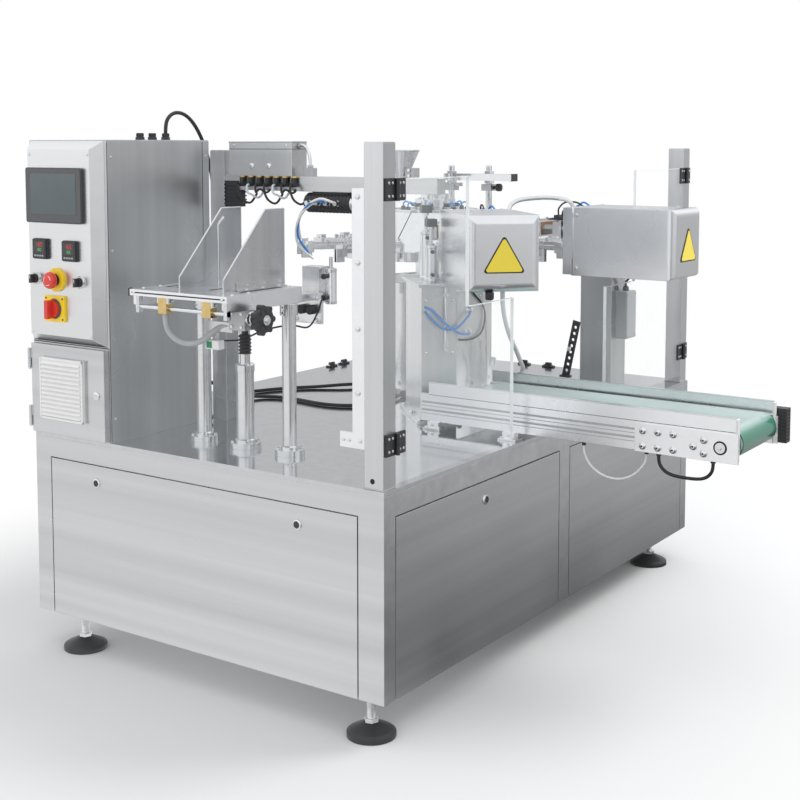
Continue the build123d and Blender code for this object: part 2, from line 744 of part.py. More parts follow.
def make_magazine():
    """Columns, frame, side plates, clamps and the adjusting handwheel."""
    columns = []
    tops = (MAG_UNDER, MAG_PLATE_Z[0], MAG_UNDER)
    for x, radius, top, flange in zip(MAG_COLS_X, MAG_COL_R, tops, MAG_FLANGE_R):
        column = drum(x, MAG_COLS_Y, 0, MAG_FLANGE_T, flange)
        column = column + drum(x, MAG_COLS_Y, 0, top, radius)
        columns.append(column)
    columns[1] = columns[1] + drum(MAG_COLS_X[1], MAG_COLS_Y, 0, MAG_SLEEVE_TOP, MAG_SLEEVE_R)
    write_group("magazine_columns", columns)

    beams = []
    for x in (MAG_COLS_X[0], MAG_COLS_X[2]):
        span = (x - MAG_BEAM_W / 2, x + MAG_BEAM_W / 2)
        beams.append(block(span, (BAR_Y[1], MAG_Y[1]), (MAG_UNDER, MAG_TOP)))
    inner = (MAG_COLS_X[0] + MAG_BEAM_W / 2, MAG_COLS_X[2] - MAG_BEAM_W / 2)
    plate = block(inner, (BAR_Y[1], MAG_Y[1]), MAG_PLATE_Z)
    bar = block(MAG_X, BAR_Y, (MAG_TOP - MAG_BAR_H, MAG_TOP))
    write("magazine_frame", joined([plate, bar] + beams))

    ends = []
    for x in (MAG_X[0] + MAG_END_IN, MAG_X[1]):
        span = (x - MAG_END_W, x)
        ends.append(block(span, BAR_Y, (MAG_ROD_Z - 14, MAG_TOP - MAG_BAR_H)))
    rod_span = (MAG_X[0] + MAG_END_IN - MAG_END_W / 2, MAG_X[1] - MAG_END_W / 2)
    rod = rod_x(rod_span[0], rod_span[1], MAG_ROD_Y, MAG_ROD_Z, MAG_ROD_R)
    hooks = []
    for (x, y), height in zip(HOOK_AT, HOOK_H):
        top = MAG_TOP + height
        path = FilletPolyline(
            (x, y, MAG_TOP),
            (x, y, top),
            (x + HOOK_BEND, y, top + HOOK_BEND),
            radius=HOOK_BEND,
        )
        section = Plane(origin=path @ 0, z_dir=path % 0) * Circle(HOOK_R)
        hooks.append(sweep(section, path=path))
    write_group("magazine_rod", [joined([rod] + ends)] + hooks)

    clamps = []
    for x in PLATES_X:
        span = (x - CLAMP_W / 2, x + CLAMP_W / 2)
        depth = (MAG_ROD_Y - CLAMP_D / 2, MAG_ROD_Y + CLAMP_D / 2)
        clamp = block(span, depth, (MAG_ROD_Z - CLAMP_DROP, MAG_TOP - MAG_BAR_H))
        hole = rod_x(span[0] - 1, span[1] + 1, MAG_ROD_Y, MAG_ROD_Z, MAG_ROD_R + RUN_GAP)
        clamps.append(clamp - hole)
    write_group("rod_clamps", clamps)

    plates = []
    for x in PLATES_X:
        outline = Polyline(
            (PLATE_Y[0], MAG_TOP),
            (PLATE_Y[2], MAG_TOP),
            (PLATE_Y[2], MAG_TOP + PLATE_H),
            (PLATE_Y[1], MAG_TOP + PLATE_H),
            (PLATE_Y[0], MAG_TOP + PLATE_NOSE),
            close=True,
        )
        sheet = extrude(Plane.YZ * make_face(outline), PLATE_T)
        plates.append(Pos(x - PLATE_T / 2, 0, 0) * sheet)
    write_group("magazine_side_plates", plates)

    hx, hy, hz = HANDWHEEL_AT
    bearing = block(BLOCK_X, (hy - BLOCK_D / 2, hy + BLOCK_D / 2), BLOCK_Z)
    bearing = bearing - rod_x(BLOCK_X[0] + 10, BLOCK_X[1] + 1, hy, hz, SHAFT_R + SHAFT_FIT)
    write("handwheel_bearing", bearing)
    wheel_x = (hx - HANDWHEEL_T / 2, hx + HANDWHEEL_T / 2)
    reach = HANDWHEEL_R - HANDWHEEL_LOBE_R
    wheel = rod_x(wheel_x[0], wheel_x[1], hy, hz, reach)
    for index in range(HANDWHEEL_LOBES):
        angle = math.radians(index * 360 / HANDWHEEL_LOBES)
        y = hy + reach * math.cos(angle)
        z = hz + reach * math.sin(angle)
        wheel = wheel + rod_x(wheel_x[0], wheel_x[1], y, z, HANDWHEEL_LOBE_R)
    shaft = rod_x(BLOCK_X[0] + 10 + RUN_GAP, hx, hy, hz, SHAFT_R)
    write("handwheel", wheel + shaft)

    px, py = PICKUP_AT
    low = MAG_UNDER - PICKUP_DROP
    arm_x = (MAG_COLS_X[2] - MAG_BEAM_W / 2, MAG_COLS_X[2] + MAG_BEAM_W / 2)
    arm = block(arm_x, (MAG_Y[1], py), (MAG_UNDER, MAG_UNDER + PICKUP_ARM_H))
    width, thick, drop = PICKUP_PLATE
    plate_z = (MAG_UNDER - drop, MAG_UNDER + PICKUP_ARM_H)
    plate = block((px - width / 2, px + width / 2), (py, py + thick), plate_z)
    width, depth, height = PICKUP_BODY
    back = py + thick
    body_x = (px - width * 0.4, px + width * 0.6)
    body = block(body_x, (back, back + depth), (low, low + height))
    middle = back + depth / 2
    reach = body_x[1] + PICKUP_LINK_L
    link = block((body_x[1], reach), (middle - 8, middle + 8), (low + 18, low + height - 30))
    cylinder_x = reach + PICKUP_CYLINDER_R - 1
    cylinder = drum(cylinder_x, middle, low, low + PICKUP_CYLINDER_H, PICKUP_CYLINDER_R)
    write("pickup_unit", joined([arm, plate, body, cylinder, link]))


# Rotary turret
def gripper_arm(z):
    """One gripper arm: pivot, bar, clamp head and its two finger plates."""
    pivot_x = TURRET_DOME_R[0] + PIVOT_R + PIVOT_OUT
    pivot = drum(pivot_x, 0, z, z + PIVOT_H, PIVOT_R)
    head_x = (GRIP_R - HEAD_L, GRIP_R - FINGER_L / 2)
    bar = block((pivot_x, head_x[0] + 1), (-ARM_W / 2, ARM_W / 2), (z, z + ARM_T))
    head = block(head_x, (-HEAD_W / 2, HEAD_W / 2), (z - HEAD_DROP, z + ARM_T + HEAD_RISE))
    pieces = [pivot, bar, head]
    finger_x = (GRIP_R - FINGER_L, GRIP_R)
    finger_z = (z - FINGER_DROP, z + ARM_T)
    for side in (-1, 1):
        near = side * FINGER_GAP / 2
        far = side * (FINGER_GAP / 2 + FINGER_T)
        pieces.append(block(finger_x, (min(near, far), max(near, far)), finger_z))
    return joined(pieces)


def make_turret():
    """Fixed drum with its spindle, and the rotor with its sixteen gripper arms."""
    cx, cy = TURRET_AT
    base = drum(cx, cy, 0, TURRET_FLANGE_T, TURRET_FLANGE_R)
    base = base + drum(cx, cy, 0, TURRET_DRUM_H, TURRET_DRUM_R)
    base = base + drum(cx, cy, TURRET_DRUM_H, TURRET_DISC_Z[0] - RUN_GAP, TURRET_SPINDLE_R)
    write("turret_base", base)

    z0, z1 = TURRET_DISC_Z
    outline = Polyline(
        (0, z0),
        (TURRET_DISC_R, z0),
        (TURRET_DISC_R, z1),
        (TURRET_DOME_R[0], z1),
        (TURRET_DOME_R[1], TURRET_DOME_TOP),
        (HUB_R, TURRET_DOME_TOP),
        (HUB_R, TURRET_DOME_TOP + HUB_H),
        (HUB_CAP_R, TURRET_DOME_TOP + HUB_H),
        (HUB_CAP_R, TURRET_DOME_TOP + HUB_H + HUB_CAP_H),
        (0, TURRET_DOME_TOP + HUB_H + HUB_CAP_H),
        close=True,
    )
    rotor = Pos(cx, cy, 0) * revolve(Plane.XZ * make_face(outline), Axis.Z, 360)
    write("turret_rotor", rotor)

    arms = []
    for index in range(STATIONS):
        for side in (-1, 1):
            angle = index * 360 / STATIONS + side * ARM_SPREAD
            arms.append(Pos(cx, cy, 0) * Rot(0, 0, angle) * gripper_arm(z1))
    write_group("gripper_arms", arms)


# Seal stations
def at_station(angle):
    """Frame of a station: local x points outwards from the turret centre."""
    return Pos(TURRET_AT[0], TURRET_AT[1], 0) * Rot(0, 0, angle)


def seal_jaw_pair(collar_face):
    """Two seal jaws with back plates on guide rods that come out of the cover's collar."""
    half = SEAL_JAW_W / 2
    low, high = SEAL_JAW_Z
    middle = (low + high) / 2
    inner = collar_face - SEAL_JAW_BACK[0]
    outer = collar_face - SEAL_JAW_BACK[1]
    pieces = []
    for start in (inner, outer):
        pieces.append(block((start, start + SEAL_JAW_D), (-half, half), SEAL_JAW_Z))
    plate_z = (low - SEAL_PLATE_GROW, high + SEAL_PLATE_GROW)
    plate_y = (-half - SEAL_PLATE_GROW, half + SEAL_PLATE_GROW)
    pieces.append(block((inner - SEAL_PLATE_T, inner), plate_y, plate_z))
    back = outer + SEAL_JAW_D
    pieces.append(block((back, back + SEAL_PLATE_T), plate_y, plate_z))
    for y in (-SEAL_ROD_Y, SEAL_ROD_Y):
        pieces.append(rod_x(inner, collar_face, y, middle, SEAL_ROD_R))
        pieces.append(rod_x(inner - SEAL_PLATE_T - SEAL_BUSH_T, inner, y, middle, SEAL_BUSH_R))
    pieces.append(rod_x(back, collar_face, 0, middle, SEAL_PUSH_R))
    return joined(pieces)


def make_seal_stations():
    """Rounded covers, their stands, jaws, guide rods and the junction box."""
    names = ("left_seal_cover", "right_seal_cover")
    half = COVER_W / 2
    for name, angle in zip(names, STATION_ANGLES):
        shell = block((COVER_REACH - COVER_L, COVER_REACH), (-half, half), COVER_Z)
        outer = shell.faces().sort_by(Axis.X)[-1].edges()
        shell = fillet(outer, COVER_ROUND)
        collar_x = (COVER_REACH - COVER_L - FLANGE_L, COVER_REACH - COVER_L)
        collar = block(collar_x, (-half + 2, half - 2), (COVER_Z[0] + 2, COVER_Z[1] - 2))
        write(name, at_station(angle) * (shell + collar))

    left_y = (-STAND_OFF - STAND_W, -STAND_OFF)
    left = block(LEFT_STAND_X, left_y, (0, COVER_Z[0]))
    right = block(RIGHT_STAND_X, (STAND_OFF, STAND_OFF + STAND_W), (0, COVER_Z[0]))
    stands = [at_station(STATION_ANGLES[0]) * left, at_station(STATION_ANGLES[1]) * right]
    write_group("seal_stands", stands)

    inner_face = COVER_REACH - COVER_L - FLANGE_L
    jaws = [at_station(angle) * seal_jaw_pair(inner_face) for angle in STATION_ANGLES]
    write_group("seal_jaws", jaws)

    jx, jy, jz = JUNCTION_SIZE
    frame = at_station(STATION_ANGLES[1])
    side = RIGHT_STAND_X[1]
    box = block((side, side + jx), (JUNCTION_Y0, JUNCTION_Y0 + jy), (JUNCTION_Z, JUNCTION_Z + jz))
    write("junction_box", frame * box)

    sx, sy = STRAP_AT
    strap = block((-STRAP_W / 2, STRAP_W / 2), (-STRAP_T / 2, STRAP_T / 2), (0, STRAP_L))
    for index in range(STRAP_HOLES):
        z = STRAP_L * (index + 1.0) / (STRAP_HOLES + 1)
        strap = strap - rod_y(-STRAP_T, STRAP_T, 0, z, STRAP_HOLE_R)
    foot = block((-STRAP_W / 2 - 4, STRAP_W / 2 + 4), (-10, 10), (0, 4))
    lean = Rot(0, STRAP_LEAN, 0) * strap
    lean = lean - block((-STRAP_L, STRAP_L), (-STRAP_W, STRAP_W), (-STRAP_L, 0))
    write("perforated_strap", Pos(sx, sy, 0) * (lean + foot))


# Filling funnel and the portal behind the turret
def make_filling():
    """Funnel shell on its stand, and the portal with its two rods."""
    z0, z1, z2 = FUNNEL_Z
    wall = FUNNEL_WALL
    outline = Polyline(
        (FUNNEL_NECK_R - wall, z0),
        (FUNNEL_NECK_R, z0),
        (FUNNEL_NECK_R, z1),
        (FUNNEL_TOP_R, z2),
        (FUNNEL_TOP_R - wall, z2),
        (FUNNEL_NECK_R - wall, z1),
        close=True,
    )
    cone = revolve(Plane.XZ * make_face(outline), Axis.Z, 360)
    frame = at_station(FUNNEL_ANGLE)
    arm_z = (z1 - FUNNEL_ARM_DROP[1], z1 - FUNNEL_ARM_DROP[0])
    arm_y = (-FUNNEL_ARM_W / 2, FUNNEL_ARM_W / 2)
    arm = block((0, FUNNEL_STAND_R - FUNNEL_R), arm_y, arm_z)
    arm = arm - drum(0, 0, arm_z[0] - 1, arm_z[1] + 1, FUNNEL_NECK_R)
    stand = drum(FUNNEL_STAND_R - FUNNEL_R, 0, 0, z1, FUNNEL_ROD_R)
    foot = drum(FUNNEL_STAND_R - FUNNEL_R, 0, 0, ROD_FOOT_T, FUNNEL_ROD_R + ROD_FOOT_GROW)
    write("funnel", frame * (Pos(FUNNEL_R, 0, 0) * cone))
    stand = frame * (Pos(FUNNEL_R, 0, 0) * joined([arm, stand, foot]))

    pieces = []
    for x, y in PORTAL_RODS:
        pieces.append(drum(x, y, 0, PORTAL_TOP, PORTAL_R))
        pieces.append(drum(x, y, 0, ROD_FOOT_T, PORTAL_R + ROD_FOOT_GROW))
    bar_y = (PORTAL_RODS[0][1] + PORTAL_RODS[1][1]) / 2
    bar = block(PORTAL_BAR_X, (bar_y - 22, bar_y + 22), PORTAL_BAR_Z)
    write_group("rod_stands", [stand, joined([bar] + pieces)])


# Discharge conveyor
def make_conveyor():
    """Rails, guards, belt with its drums inside, end plates, legs and drive."""
    x0, x1 = CONV_X
    y0, y1 = CONV_Y
    near = block((x0, x1), (y0, y0 + RAIL_T), RAIL_Z)
    far = block((BELT_X0, x1), (y1 - RAIL_T, y1), RAIL_Z)
    pan_x = (BELT_X0 + PAN_IN[0], x1 - PAN_IN[1])
    pan = block(pan_x, (y0 + RAIL_T, y1 - RAIL_T), (RAIL_Z[0], RAIL_Z[0] + GUARD_T))
    legs = []
    for x in LEG_X:
        for y in (y0, y1 - RAIL_T):
            if x > BELT_X0 or y < y0 + RAIL_T:
                leg_x = (x - LEG_W / 2, x + LEG_W / 2)
                legs.append(block(leg_x, (y - LEG_OUT, y + RAIL_T), (0, RAIL_Z[0])))
    write("conveyor_rails", joined([near, far, pan] + legs))

    guards = []
    for y in (y0, y1 - GUARD_T):
        start = x0 + 22 if y == y0 else BELT_X0
        guards.append(block((start, x1), (y, y + GUARD_T), (RAIL_Z[1], GUARD_TOP)))

    plates = []
    for y in (y0 - END_PLATE_T, y1):
        plates.append(block((END_PLATE_X, x1 + 8), (y, y + END_PLATE_T), (RAIL_Z[0] - 2, RAIL_Z[1] - 4)))
    write_group("conveyor_side_plates", guards + plates)

    radius = (BELT_Z[1] - BELT_Z[0]) / 2
    middle = (BELT_Z[0] + BELT_Z[1]) / 2
    belt_y = (y0 + RAIL_T + BELT_GAP, y1 - RAIL_T - BELT_GAP)
    drums_x = (BELT_X0 + radius + 4, x1 + DRUM_OUT - radius)
    outer = block((drums_x[0], drums_x[1]), belt_y, BELT_Z)
    inner_z = (BELT_Z[0] + BELT_T, BELT_Z[1] - BELT_T)
    inner = block((drums_x[0], drums_x[1]), (belt_y[0] - 1, belt_y[1] + 1), inner_z)
    for x in drums_x:
        outer = outer + rod_y(belt_y[0], belt_y[1], x, middle, radius)
        inner = inner + rod_y(belt_y[0] - 1, belt_y[1] + 1, x, middle, radius - BELT_T)
    write("conveyor_belt", outer - inner)
    drums = []
    for x in drums_x:
        roll = rod_y(belt_y[0], belt_y[1], x, middle, radius - BELT_T - RUN_GAP)
        axle = rod_y(y0 + RAIL_T, y1 - RAIL_T, x, middle, DRUM_AXLE_R)
        drums.append(roll + axle)
    write_group("conveyor_drums", drums)

    mx, my, mz = DRIVE_SIZE
    end = x1 + DRIVE_OUT
    drive_y = (y1 + END_PLATE_T, y1 + END_PLATE_T + my)
    drive = block((end - mx, end), drive_y, (RAIL_Z[0], RAIL_Z[0] + mz))
    write("conveyor_drive", drive)


# Cables and hoses
def bend_radii(points):
    """Arc at each corner of a route: 0.45 of its shorter run over the tangent of half the turn."""
    radii = []
    for before, here, after in zip(points, points[1:], points[2:]):
        first = Vector(*here) - Vector(*before)
        second = Vector(*after) - Vector(*here)
        half_turn = math.radians(first.get_angle(second)) / 2
        radii.append(0.45 * min(first.length, second.length) / math.tan(half_turn))
    return radii


def cord_tube(node, points, radius):
    """A plain tube along straight runs and tangent arcs."""
    radii = bend_radii(points)
    path = FilletPolyline(*points, radius=radii)
    start = path @ 0
    section = Plane(origin=start, z_dir=path % 0) * Circle(radius)
    tube = sweep(section, path=path)
    ideal = math.pi * radius * radius * path.length
    print(node, "length", round(path.length), "volume ratio", round(tube.volume / ideal, 4))
    print(node, "radii", [round(value) for value in radii])
    write(node, tube)


def into_inlet(angle):
    """The last two points of a table cable, straight into an inlet of the turret drum."""
    ends = []
    for reach in (INLET_L + INLET_RUN, INLET_L):
        radius = TURRET_FLANGE_R + reach
        x = TURRET_AT[0] + radius * math.cos(math.radians(angle))
        y = TURRET_AT[1] + radius * math.sin(math.radians(angle))
        ends.append((x, y, INLET_R + 0.3))
    return tuple(ends)


def make_cords():
    """Every cable and hose, with the glands and inlets that they meet."""
    cord_tube("cabinet_cable", CABINET_CABLE, CABLE_R)
    cord_tube("rear_table_cable", REAR_TABLE_CABLE + into_inlet(INLET_ANGLES[0]), CABLE_R)
    cord_tube("front_table_cable", FRONT_TABLE_CABLE + into_inlet(INLET_ANGLES[1]), CABLE_R)
    cord_tube("seal_hose", SEAL_HOSE, HOSE_R)
    cord_tube("magazine_conduit", CONDUIT, CONDUIT_R)
    cord_tube("conveyor_white_cable", WHITE_CABLE, WHITE_CABLE_R)
    cord_tube("conveyor_black_cable", BLACK_CABLE, BLACK_CABLE_R)
    fittings = []
    for x, y in STUBS_AT:
        fittings.append(drum(x, y, 0, STUB_H, STUB_R))
    x, y, z = SEAL_HOSE[0]
    fittings.append(drum(x, y, z, COVER_Z[0], HOSE_R + NIPPLE_GROW))
    for route, radius in ((WHITE_CABLE, WHITE_CABLE_R), (BLACK_CABLE, BLACK_CABLE_R)):
        for x, y, z in (route[0], route[-1]):
            fittings.append(drum(x, y, z, z + NIPPLE_H, radius + NIPPLE_GROW))
    for angle in INLET_ANGLES:
        reach = (TURRET_FLANGE_R + 0.2, TURRET_FLANGE_R + INLET_L)
        fittings.append(at_station(angle) * rod_x(reach[0], reach[1], 0, INLET_R + 0.3, INLET_R))
    write_group("cord_fittings", fittings)


make_base()
make_feet()
make_cabinet()
make_controls()
make_posts()
make_doors()
make_magazine()
make_turret()
make_seal_stations()
make_filling()
make_conveyor()
make_cords()
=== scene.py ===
"""Dressed model of the rotary pouch filling machine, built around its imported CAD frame.

Lengths in the classes are millimetres from one datum, the front right corner of the table top:
x runs right, y runs back and z runs up. Meshes are written in metres in the frame's own axes.
"""
import logging
import math
from dataclasses import dataclass, field
from enum import Enum
from itertools import product

import bpy
import numpy as np
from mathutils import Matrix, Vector


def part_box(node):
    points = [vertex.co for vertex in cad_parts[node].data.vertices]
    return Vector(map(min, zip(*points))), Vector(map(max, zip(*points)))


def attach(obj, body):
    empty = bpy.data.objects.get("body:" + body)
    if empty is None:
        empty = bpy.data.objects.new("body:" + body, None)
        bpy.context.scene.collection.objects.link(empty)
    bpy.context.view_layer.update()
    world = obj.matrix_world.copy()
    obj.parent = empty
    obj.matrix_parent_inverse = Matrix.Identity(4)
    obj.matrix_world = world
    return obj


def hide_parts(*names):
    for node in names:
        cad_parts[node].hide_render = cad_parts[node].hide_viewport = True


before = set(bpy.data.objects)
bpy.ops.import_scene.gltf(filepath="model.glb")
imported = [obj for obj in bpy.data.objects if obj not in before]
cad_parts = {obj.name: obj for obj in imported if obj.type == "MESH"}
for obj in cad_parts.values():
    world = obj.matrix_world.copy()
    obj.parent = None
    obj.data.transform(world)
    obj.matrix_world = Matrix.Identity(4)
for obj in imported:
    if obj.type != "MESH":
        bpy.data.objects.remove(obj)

LOG = logging.getLogger("scene")
MM = 0.001
SHARP_DEG, BEVEL_DEG = 35, 40
TABLE_LOW, TABLE_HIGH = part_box("table_top")
DATUM = np.array((TABLE_HIGH.x, TABLE_LOW.y, TABLE_HIGH.z))
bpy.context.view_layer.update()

Pair = tuple[float, float]
Span = Pair
Point = tuple[float, float, float]
Tone = tuple[float, float, float]
Outline = list[Pair] | tuple[Pair, ...]
Shell = tuple[np.ndarray, list[tuple[int, ...]]]
Tree = bpy.types.NodeTree
Material = bpy.types.Material
Socket = bpy.types.NodeSocket
Node = bpy.types.Node


class Body(Enum):
    """The CAD bodies that pieces ride on."""

    MACHINE = "machine"
    CABINET_DOOR = "cabinet_door"
    EMERGENCY_STOP = "emergency_stop"
    LEFT_SELECTOR = "left_selector"
    RIGHT_SELECTOR = "right_selector"
    MAIN_SWITCH = "main_switch"
    FRONT_DOOR = "front_door"
    REAR_DOOR = "rear_door"
    HANDWHEEL = "handwheel"
    TURRET = "turret"


class Along(Enum):
    """Axis that a round piece or a grain runs along."""

    X = (1.0, 0.0, 0.0)
    Y = (0.0, 1.0, 0.0)
    Z = (0.0, 0.0, 1.0)


X, Y, Z = Along

# Node helpers
def feed(node: Node, inputs: dict[str | int, object]) -> Node:
    """Give a node's inputs their values: a socket is linked, anything else is set.

    Args:
        node: The node.
        inputs: Label or number of each input to its value.

    Returns:
        The node.
    """
    for label, value in inputs.items():
        if isinstance(value, Socket):
            node.id_data.links.new(value, node.inputs[label])
        else:
            node.inputs[label].default_value = value
    return node


def add_node(tree: Tree, kind: str, inputs: dict[str | int, object] | None = None, **values: object) -> Node:
    """Add a node, set its plain properties and feed its inputs.

    Args:
        tree: Tree that gets the node.
        kind: Blender's node type name.
        inputs: Label or number of an input to its value or socket.
        values: Properties to set on it.

    Returns:
        The new node.
    """
    node = tree.nodes.new(kind)
    for key, value in values.items():
        setattr(node, key, value)
    return feed(node, inputs or {})


def reckon(tree: Tree, operation: str, *values: object) -> Socket:
    """Add a math node fed with sockets or plain numbers, and give its result."""
    return add_node(tree, "ShaderNodeMath", dict(enumerate(values)), operation=operation).outputs[0]


def eased(tree: Tree, value: Socket, start: Span, end: Span) -> Socket:
    """Map a value smoothly from the span start onto the span end."""
    node = add_node(tree, "ShaderNodeMapRange", {
        "Value": value, "From Min": start[0], "From Max": start[1], "To Min": end[0], "To Max": end[1],
    }, interpolation_type="SMOOTHSTEP")
    return node.outputs["Result"]


def edge_normal(tree: Tree, radius_mm: float) -> Socket:
    """Normals that turn over a small radius at the edges."""
    return add_node(tree, "ShaderNodeBevel", {"Radius": radius_mm * MM}, samples=4).outputs["Normal"]


def bumped(height: Socket, strength: float, distance: float, **normal: Socket) -> Socket:
    """Normals of a fine height pattern, its depth in metres, laid over other normals if given."""
    inputs = {"Height": height, "Strength": strength, "Distance": distance, **normal}
    return add_node(height.id_data, "ShaderNodeBump", inputs).outputs["Normal"]


def tone_mix(tree: Tree, mask: Socket, dark: Tone, light: Tone) -> Socket:
    """Mix two colours by a mask, 0 for dark and 1 for light."""
    ends = {"Factor": mask, "A": (*dark, 1.0), "B": (*light, 1.0)}
    return add_node(tree, "ShaderNodeMix", ends, data_type="RGBA").outputs["Result"]


def new_group(name: str, inputs: dict[str, tuple[str, object]], outputs: tuple[str, ...]) -> tuple:
    """Make an empty shader node group with named sockets.

    Args:
        name: Name of the group.
        inputs: Socket name to its type and default.
        outputs: Names of the number sockets that it gives.

    Returns:
        The group, its input node and its output node.
    """
    group = bpy.data.node_groups.new(name, "ShaderNodeTree")
    for label, (kind, default) in inputs.items():
        socket = group.interface.new_socket(name=label, in_out="INPUT", socket_type=kind)
        if default is not None:
            socket.default_value = default
    for label in outputs:
        group.interface.new_socket(name=label, in_out="OUTPUT", socket_type="NodeSocketFloat")
    return group, add_node(group, "NodeGroupInput"), add_node(group, "NodeGroupOutput")


def make_grain_group() -> Tree:
    """Fine lines of a brushed sheet: noise on coordinates stretched along the brushing.

    Returns:
        A group that gives Lines, a fine streak height, and Bands, a slow change of tone.
    """
    inputs = {"Vector": ("NodeSocketVector", None), "Stretch": ("NodeSocketVector", (1.0, 1.0, 1.0))}
    group, source, sink = new_group("brushed_grain", inputs, ("Lines", "Bands"))
    both = {0: source.outputs["Vector"], 1: source.outputs["Stretch"]}
    where = add_node(group, "ShaderNodeVectorMath", both, operation="MULTIPLY").outputs[0]
    for label, scale, detail in (("Lines", 900.0, 3.0), ("Bands", 26.0, 4.0)):
        noise = add_node(group, "ShaderNodeTexNoise", {"Vector": where, "Scale": scale, "Detail": detail})
        feed(sink, {label: noise.outputs["Fac"]})
    return group


def make_smudge_group() -> Tree:
    """Large soft patches where a wiped surface is a little duller.

    Returns:
        A group that gives Mask, from 0 to 1 over patches of about Size metres.
    """
    inputs = {"Vector": ("NodeSocketVector", None), "Size": ("NodeSocketFloat", 0.25)}
    group, source, sink = new_group("soft_smudge", inputs, ("Mask",))
    noise = add_node(group, "ShaderNodeTexNoise", {
        "Vector": source.outputs["Vector"], "Scale": reckon(group, "DIVIDE", 1.0, source.outputs["Size"]),
        "Detail": 2.0, "Roughness": 0.4,
    })
    feed(sink, {"Mask": eased(group, noise.outputs["Fac"], (0.35, 0.65), (0.0, 1.0))})
    return group


def make_grit_group() -> Tree:
    """Small even grit of moulded plastic, castings and rubber.

    Returns:
        A group that gives Grit, a fine height, and Mottle, a slow change of tone.
    """
    inputs = {"Vector": ("NodeSocketVector", None), "Fineness": ("NodeSocketFloat", 900.0)}
    group, source, sink = new_group("moulded_grit", inputs, ("Grit", "Mottle"))
    where, fineness = source.outputs["Vector"], source.outputs["Fineness"]
    grit = add_node(group, "ShaderNodeTexNoise", {"Vector": where, "Scale": fineness, "Detail": 2.0})
    mottle = add_node(group, "ShaderNodeTexNoise", {"Vector": where, "Scale": 40.0})
    feed(sink, {"Grit": grit.outputs["Fac"], "Mottle": mottle.outputs["Fac"]})
    return group


GRAIN_GROUP = make_grain_group()
SMUDGE_GROUP = make_smudge_group()
GRIT_GROUP = make_grit_group()


def pattern(where: Socket, group: Tree, **inputs: object) -> Node:
    """Add one of the pattern groups on some coordinates, with the values of its other inputs."""
    return add_node(where.id_data, "ShaderNodeGroup", {"Vector": where, **inputs}, node_tree=group)


@dataclass(frozen=True)
class Spread:
    """A value that a mask moves between two ends."""

    low: float
    high: float

    def wire(self, tree: Tree, mask: Socket) -> Socket:
        """Map a 0 to 1 mask in a tree onto this spread."""
        ends = {"Value": mask, "To Min": self.low, "To Max": self.high}
        return add_node(tree, "ShaderNodeMapRange", ends).outputs["Result"]


@dataclass(frozen=True)
class Finish:
    """Base of every finish: a named material with its Principled shader."""

    name: str
    slot: str

    def start(self) -> tuple[Material, Node, Socket]:
        """Make the material.

        Returns:
            The material, its Principled node and its Object coordinates.
        """
        material = bpy.data.materials.new(self.name)
        material.use_nodes = True
        tree = material.node_tree
        where = add_node(tree, "ShaderNodeTexCoord").outputs["Object"]
        return material, tree.nodes["Principled BSDF"], where

    def build(self) -> Material:
        """Make the finished material."""
        raise NotImplementedError

    def get(self) -> Material:
        """The one material of this finish, made on first use."""
        return bpy.data.materials.get(self.name) or self.build()


@dataclass(frozen=True)
class BrushedSteel(Finish):
    """Brushed stainless sheet: streaks along one axis, soft patches, light directional gloss."""

    grain: Along = X
    dark: Tone = (0.53, 0.54, 0.55)
    light: Tone = (0.77, 0.78, 0.79)
    rough: Spread = Spread(0.24, 0.36)
    bump: float = 0.04
    bump_m: float = 0.0006
    smudge_m: float = 0.35
    streak: float = 0.012
    edge_mm: float = 2.2

    def build(self) -> Material:
        """Streak noise sets tone and height; patches set roughness."""
        material, shader, where = self.start()
        tree = material.node_tree
        stretch = [self.streak if axis else 1.0 for axis in self.grain.value]
        grain = pattern(where, GRAIN_GROUP, Stretch=stretch).outputs
        smudge = pattern(where, SMUDGE_GROUP, Size=self.smudge_m).outputs
        feed(shader, {
            "Base Color": tone_mix(tree, grain["Bands"], self.dark, self.light),
            "Roughness": self.rough.wire(tree, smudge["Mask"]),
            "Metallic": 1.0,
            "Normal": bumped(grain["Lines"], self.bump, self.bump_m, Normal=edge_normal(tree, self.edge_mm)),
        })
        return material


@dataclass(frozen=True)
class SmoothMetal(Finish):
    """Polished, turned, anodised or cast metal with a faint mottle and smudges."""

    dark: Tone = (0.70, 0.71, 0.72)
    light: Tone = (0.80, 0.81, 0.82)
    rough: Spread = Spread(0.08, 0.14)
    fineness: float = 700.0
    bump: float = 0.02
    bump_m: float = 0.0004
    metallic: float = 1.0
    smudge_m: float = 0.2
    edge_mm: float = 1.0

    def build(self) -> Material:
        """Mottle sets tone, smudges set roughness and grit sets height."""
        material, shader, where = self.start()
        tree = material.node_tree
        grit = pattern(where, GRIT_GROUP, Fineness=self.fineness).outputs
        smudge = pattern(where, SMUDGE_GROUP, Size=self.smudge_m).outputs
        feed(shader, {
            "Base Color": tone_mix(tree, grit["Mottle"], self.dark, self.light),
            "Roughness": self.rough.wire(tree, smudge["Mask"]),
            "Metallic": self.metallic,
            "Normal": bumped(grit["Grit"], self.bump, self.bump_m, Normal=edge_normal(tree, self.edge_mm)),
        })
        return material


